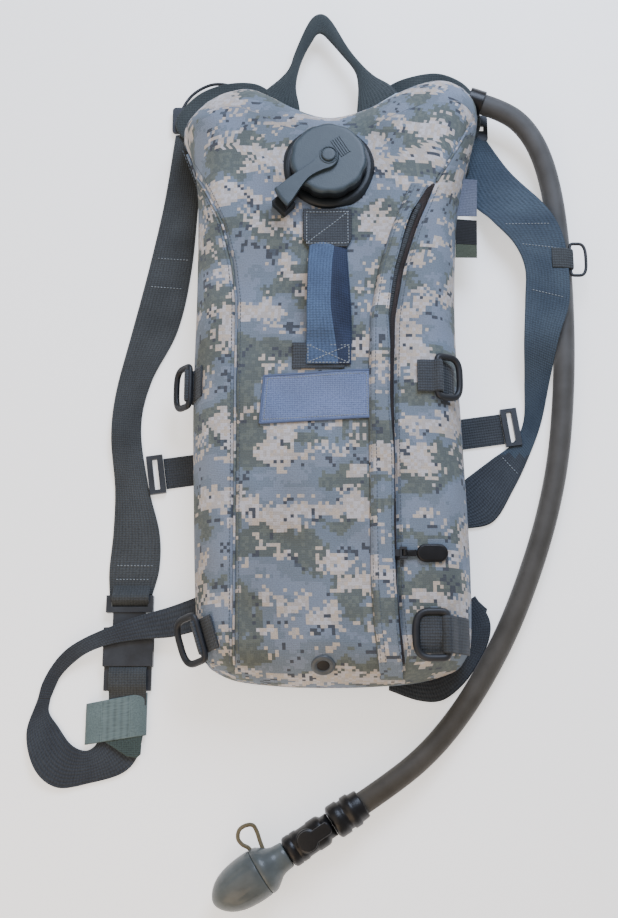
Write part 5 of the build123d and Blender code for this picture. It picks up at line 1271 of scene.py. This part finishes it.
endAt = np.array(routePoints[-1], float)
endAxis = unit(endAt - np.array(routePoints[-2], float))
couplingStations = [(-4.5, 8.7), (-4.5, 10.2), (-3.5, 10.9), (2, 11.2), (3, 12.5), (8.2, 12.5), (9, 11.2),
                    (11.6, 11.2), (12.4, 12.6), (19.6, 12.6), (20.8, 11.8), (22, 9.6), (22, 0.001)]
coupling = turnedPiece("tubeCoupling", couplingStations, endAt, endAxis, valvePlastic, 96,
                       radial=lambda a, d: 1 - 0.028 * (np.cos(14 * a) > 0.35) * (np.abs(d - 16) < 3))
finishPiece(coupling, bodyOf["tube_coupling"], ["tube_coupling"])
valveStations = [(22.2, 0.001), (22.2, 9.0), (27.4, 9.0), (28, 9.8), (29.3, 11.0), (31, 11.5), (38, 11.5),
                 (39, 10.8), (47, 10.8), (48, 11.5), (52.2, 11.5), (52.8, 10.9), (53.4, 11.6), (57.6, 11.6),
                 (58.8, 11.0), (59.8, 9.4), (59.9, 0.001)]
valve = turnedPiece("shutoffValve", valveStations, endAt, endAxis, valvePlastic, 96)
finishPiece(valve, bodyOf["valve_body"], ["valve_body"])
bossAt = endAt + endAxis * 43
finishPiece(turnedPiece("valveTurret", [(6, 8.5), (11.6, 8.5), (12.2, 8.1), (12.3, 0.001)], bossAt,
                        (0, 0, 1), valvePlastic, 64), bodyOf["valve_body"])
carried("shutoff_lever", valvePlastic, 0.5)
bite = turnedPiece("biteValveRubber", [(60, 0.001), (60, 6.5), (84, 6.5), (87, 8.0), (96, 7.8), (99, 6.9),
                                       (100, 5.6), (100, 0.001)], endAt, endAxis, silicone, 64)
finishPiece(bite, bodyOf["bite_valve"], ["bite_valve"])
baseStations = [(60.4, 6.9), (60.3, 9.0), (60.9, 9.7), (64, 10.0), (68, 10.4), (71, 11.6), (75, 14.6),
                (78, 16.6), (80, 17.3), (82.6, 17.5), (83, 17.2), (83, 6.9), (60.4, 6.9)]
coverBase = turnedPiece("coverBase", baseStations, endAt, endAxis, coverPlastic, 96)
finishPiece(coverBase, bodyOf["cover_base"], ["cover_base"])
domeStations = [(83.3, 15.6), (83.3, 17.1), (84.2, 17.5), (90, 17.7), (95, 17.5), (101, 16.8), (106, 15.8),
                (111, 14.0), (115, 11.8), (118.4, 9.0), (120.8, 6.2), (122.4, 3.4), (123, 1.4),
                (123.1, 0.001)]
dome = turnedPiece("coverDome", domeStations, endAt, endAxis, coverPlastic, 96,
                   radial=lambda a, d: 1 - 0.02 * (np.abs(np.cos(3 * a)) > 0.93) * (d > 88) * (d < 110))
finishPiece(dome, bodyOf["cover_dome"], ["cover_dome"])
coverLoopPoints = [(-57.4, -338, 17.8), (-60, -334.5, 17.8), (-64.5, -332.2, 17.8), (-67.6, -328, 17.8),
                   (-66.8, -322.4, 17.8), (-62.4, -319.2, 17.8), (-57, -318.9, 17.8), (-53.9, -323.5, 17.8),
                   (-51.6, -330, 17.8), (-48.6, -337.5, 17.8)]
coverLoopRod = rodPiece("coverLoopCord", curvePoints(coverLoopPoints, 90), 1.5, loopRubber, sides=14)
finishPiece(coverLoopRod, bodyOf["cover_loop"], ["cover_loop"])
carried("tube_exit_sleeve", valvePlastic, 0.5)
grommetAt = np.array(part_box("drain_grommet")).mean(axis=0)[:2] / mm
grommetPlace, grommetUp = clothFrame(*grommetAt)
finishPiece(turnedPiece("drainGrommetRing",
                        [(-1.2, 4.4), (-1.2, 8.4), (0.3, 8.8), (1.0, 8.0), (1.3, 6.6), (1.0, 5.2),
                         (0.3, 4.5), (-1.2, 4.4)], grommetPlace, grommetUp, steel, 72), "pack",
            ["drain_grommet"])
finishPiece(turnedPiece("drainHoleShade", [(-0.8, 4.6), (0.25, 4.6), (0.3, 4.2), (0.3, 0.001)],
                        grommetPlace, grommetUp, valvePlastic, 48), "pack")
print("tube and fittings made")

# pieces inside the bag keep their solids and get their own finishes

linerSet = {"inset": 0.03, "count": 90, "under": 3.2, "lowest": 14.0, "thick": 1.6}
linerUv = np.linspace(linerSet["inset"], 1 - linerSet["inset"], linerSet["count"])
linerU, linerV = np.meshgrid(linerUv, linerUv)
linerXy = coons(linerU, linerV)
linerZ = np.maximum(bagHeight(linerXy[..., 0], linerXy[..., 1]) - linerSet["under"], linerSet["lowest"])
linerGrid = np.concatenate([linerXy, linerZ[..., None]], axis=2)
liner = thickSheet("foamLinerSheet", linerGrid, linerSet["thick"], linerFoam, linerXy)
linerFaces = np.array([f.center[:2] for f in liner.data.polygons]) / mm
cut = np.where(np.hypot(linerFaces[:, 0] - port[0], linerFaces[:, 1] - port[1]) < panelSet["portHole"])[0]
bm = bmesh.new()
bm.from_mesh(liner.data)
bm.faces.ensure_lookup_table()
bmesh.ops.delete(bm, geom=[bm.faces[i] for i in cut], context="FACES")
bm.to_mesh(liner.data)
bm.free()
finishPiece(liner, "pack", ["foam_liner"])
inside = {"reservoir": bladderFilm, "fill_neck": capPlastic, "inner_tube": bladderFilm,
          "outlet_elbow": capPlastic}
for node, mat in inside.items():
    mesh = frame["nodes"][node].data
    mesh.materials.clear()
    mesh.materials.append(mat)
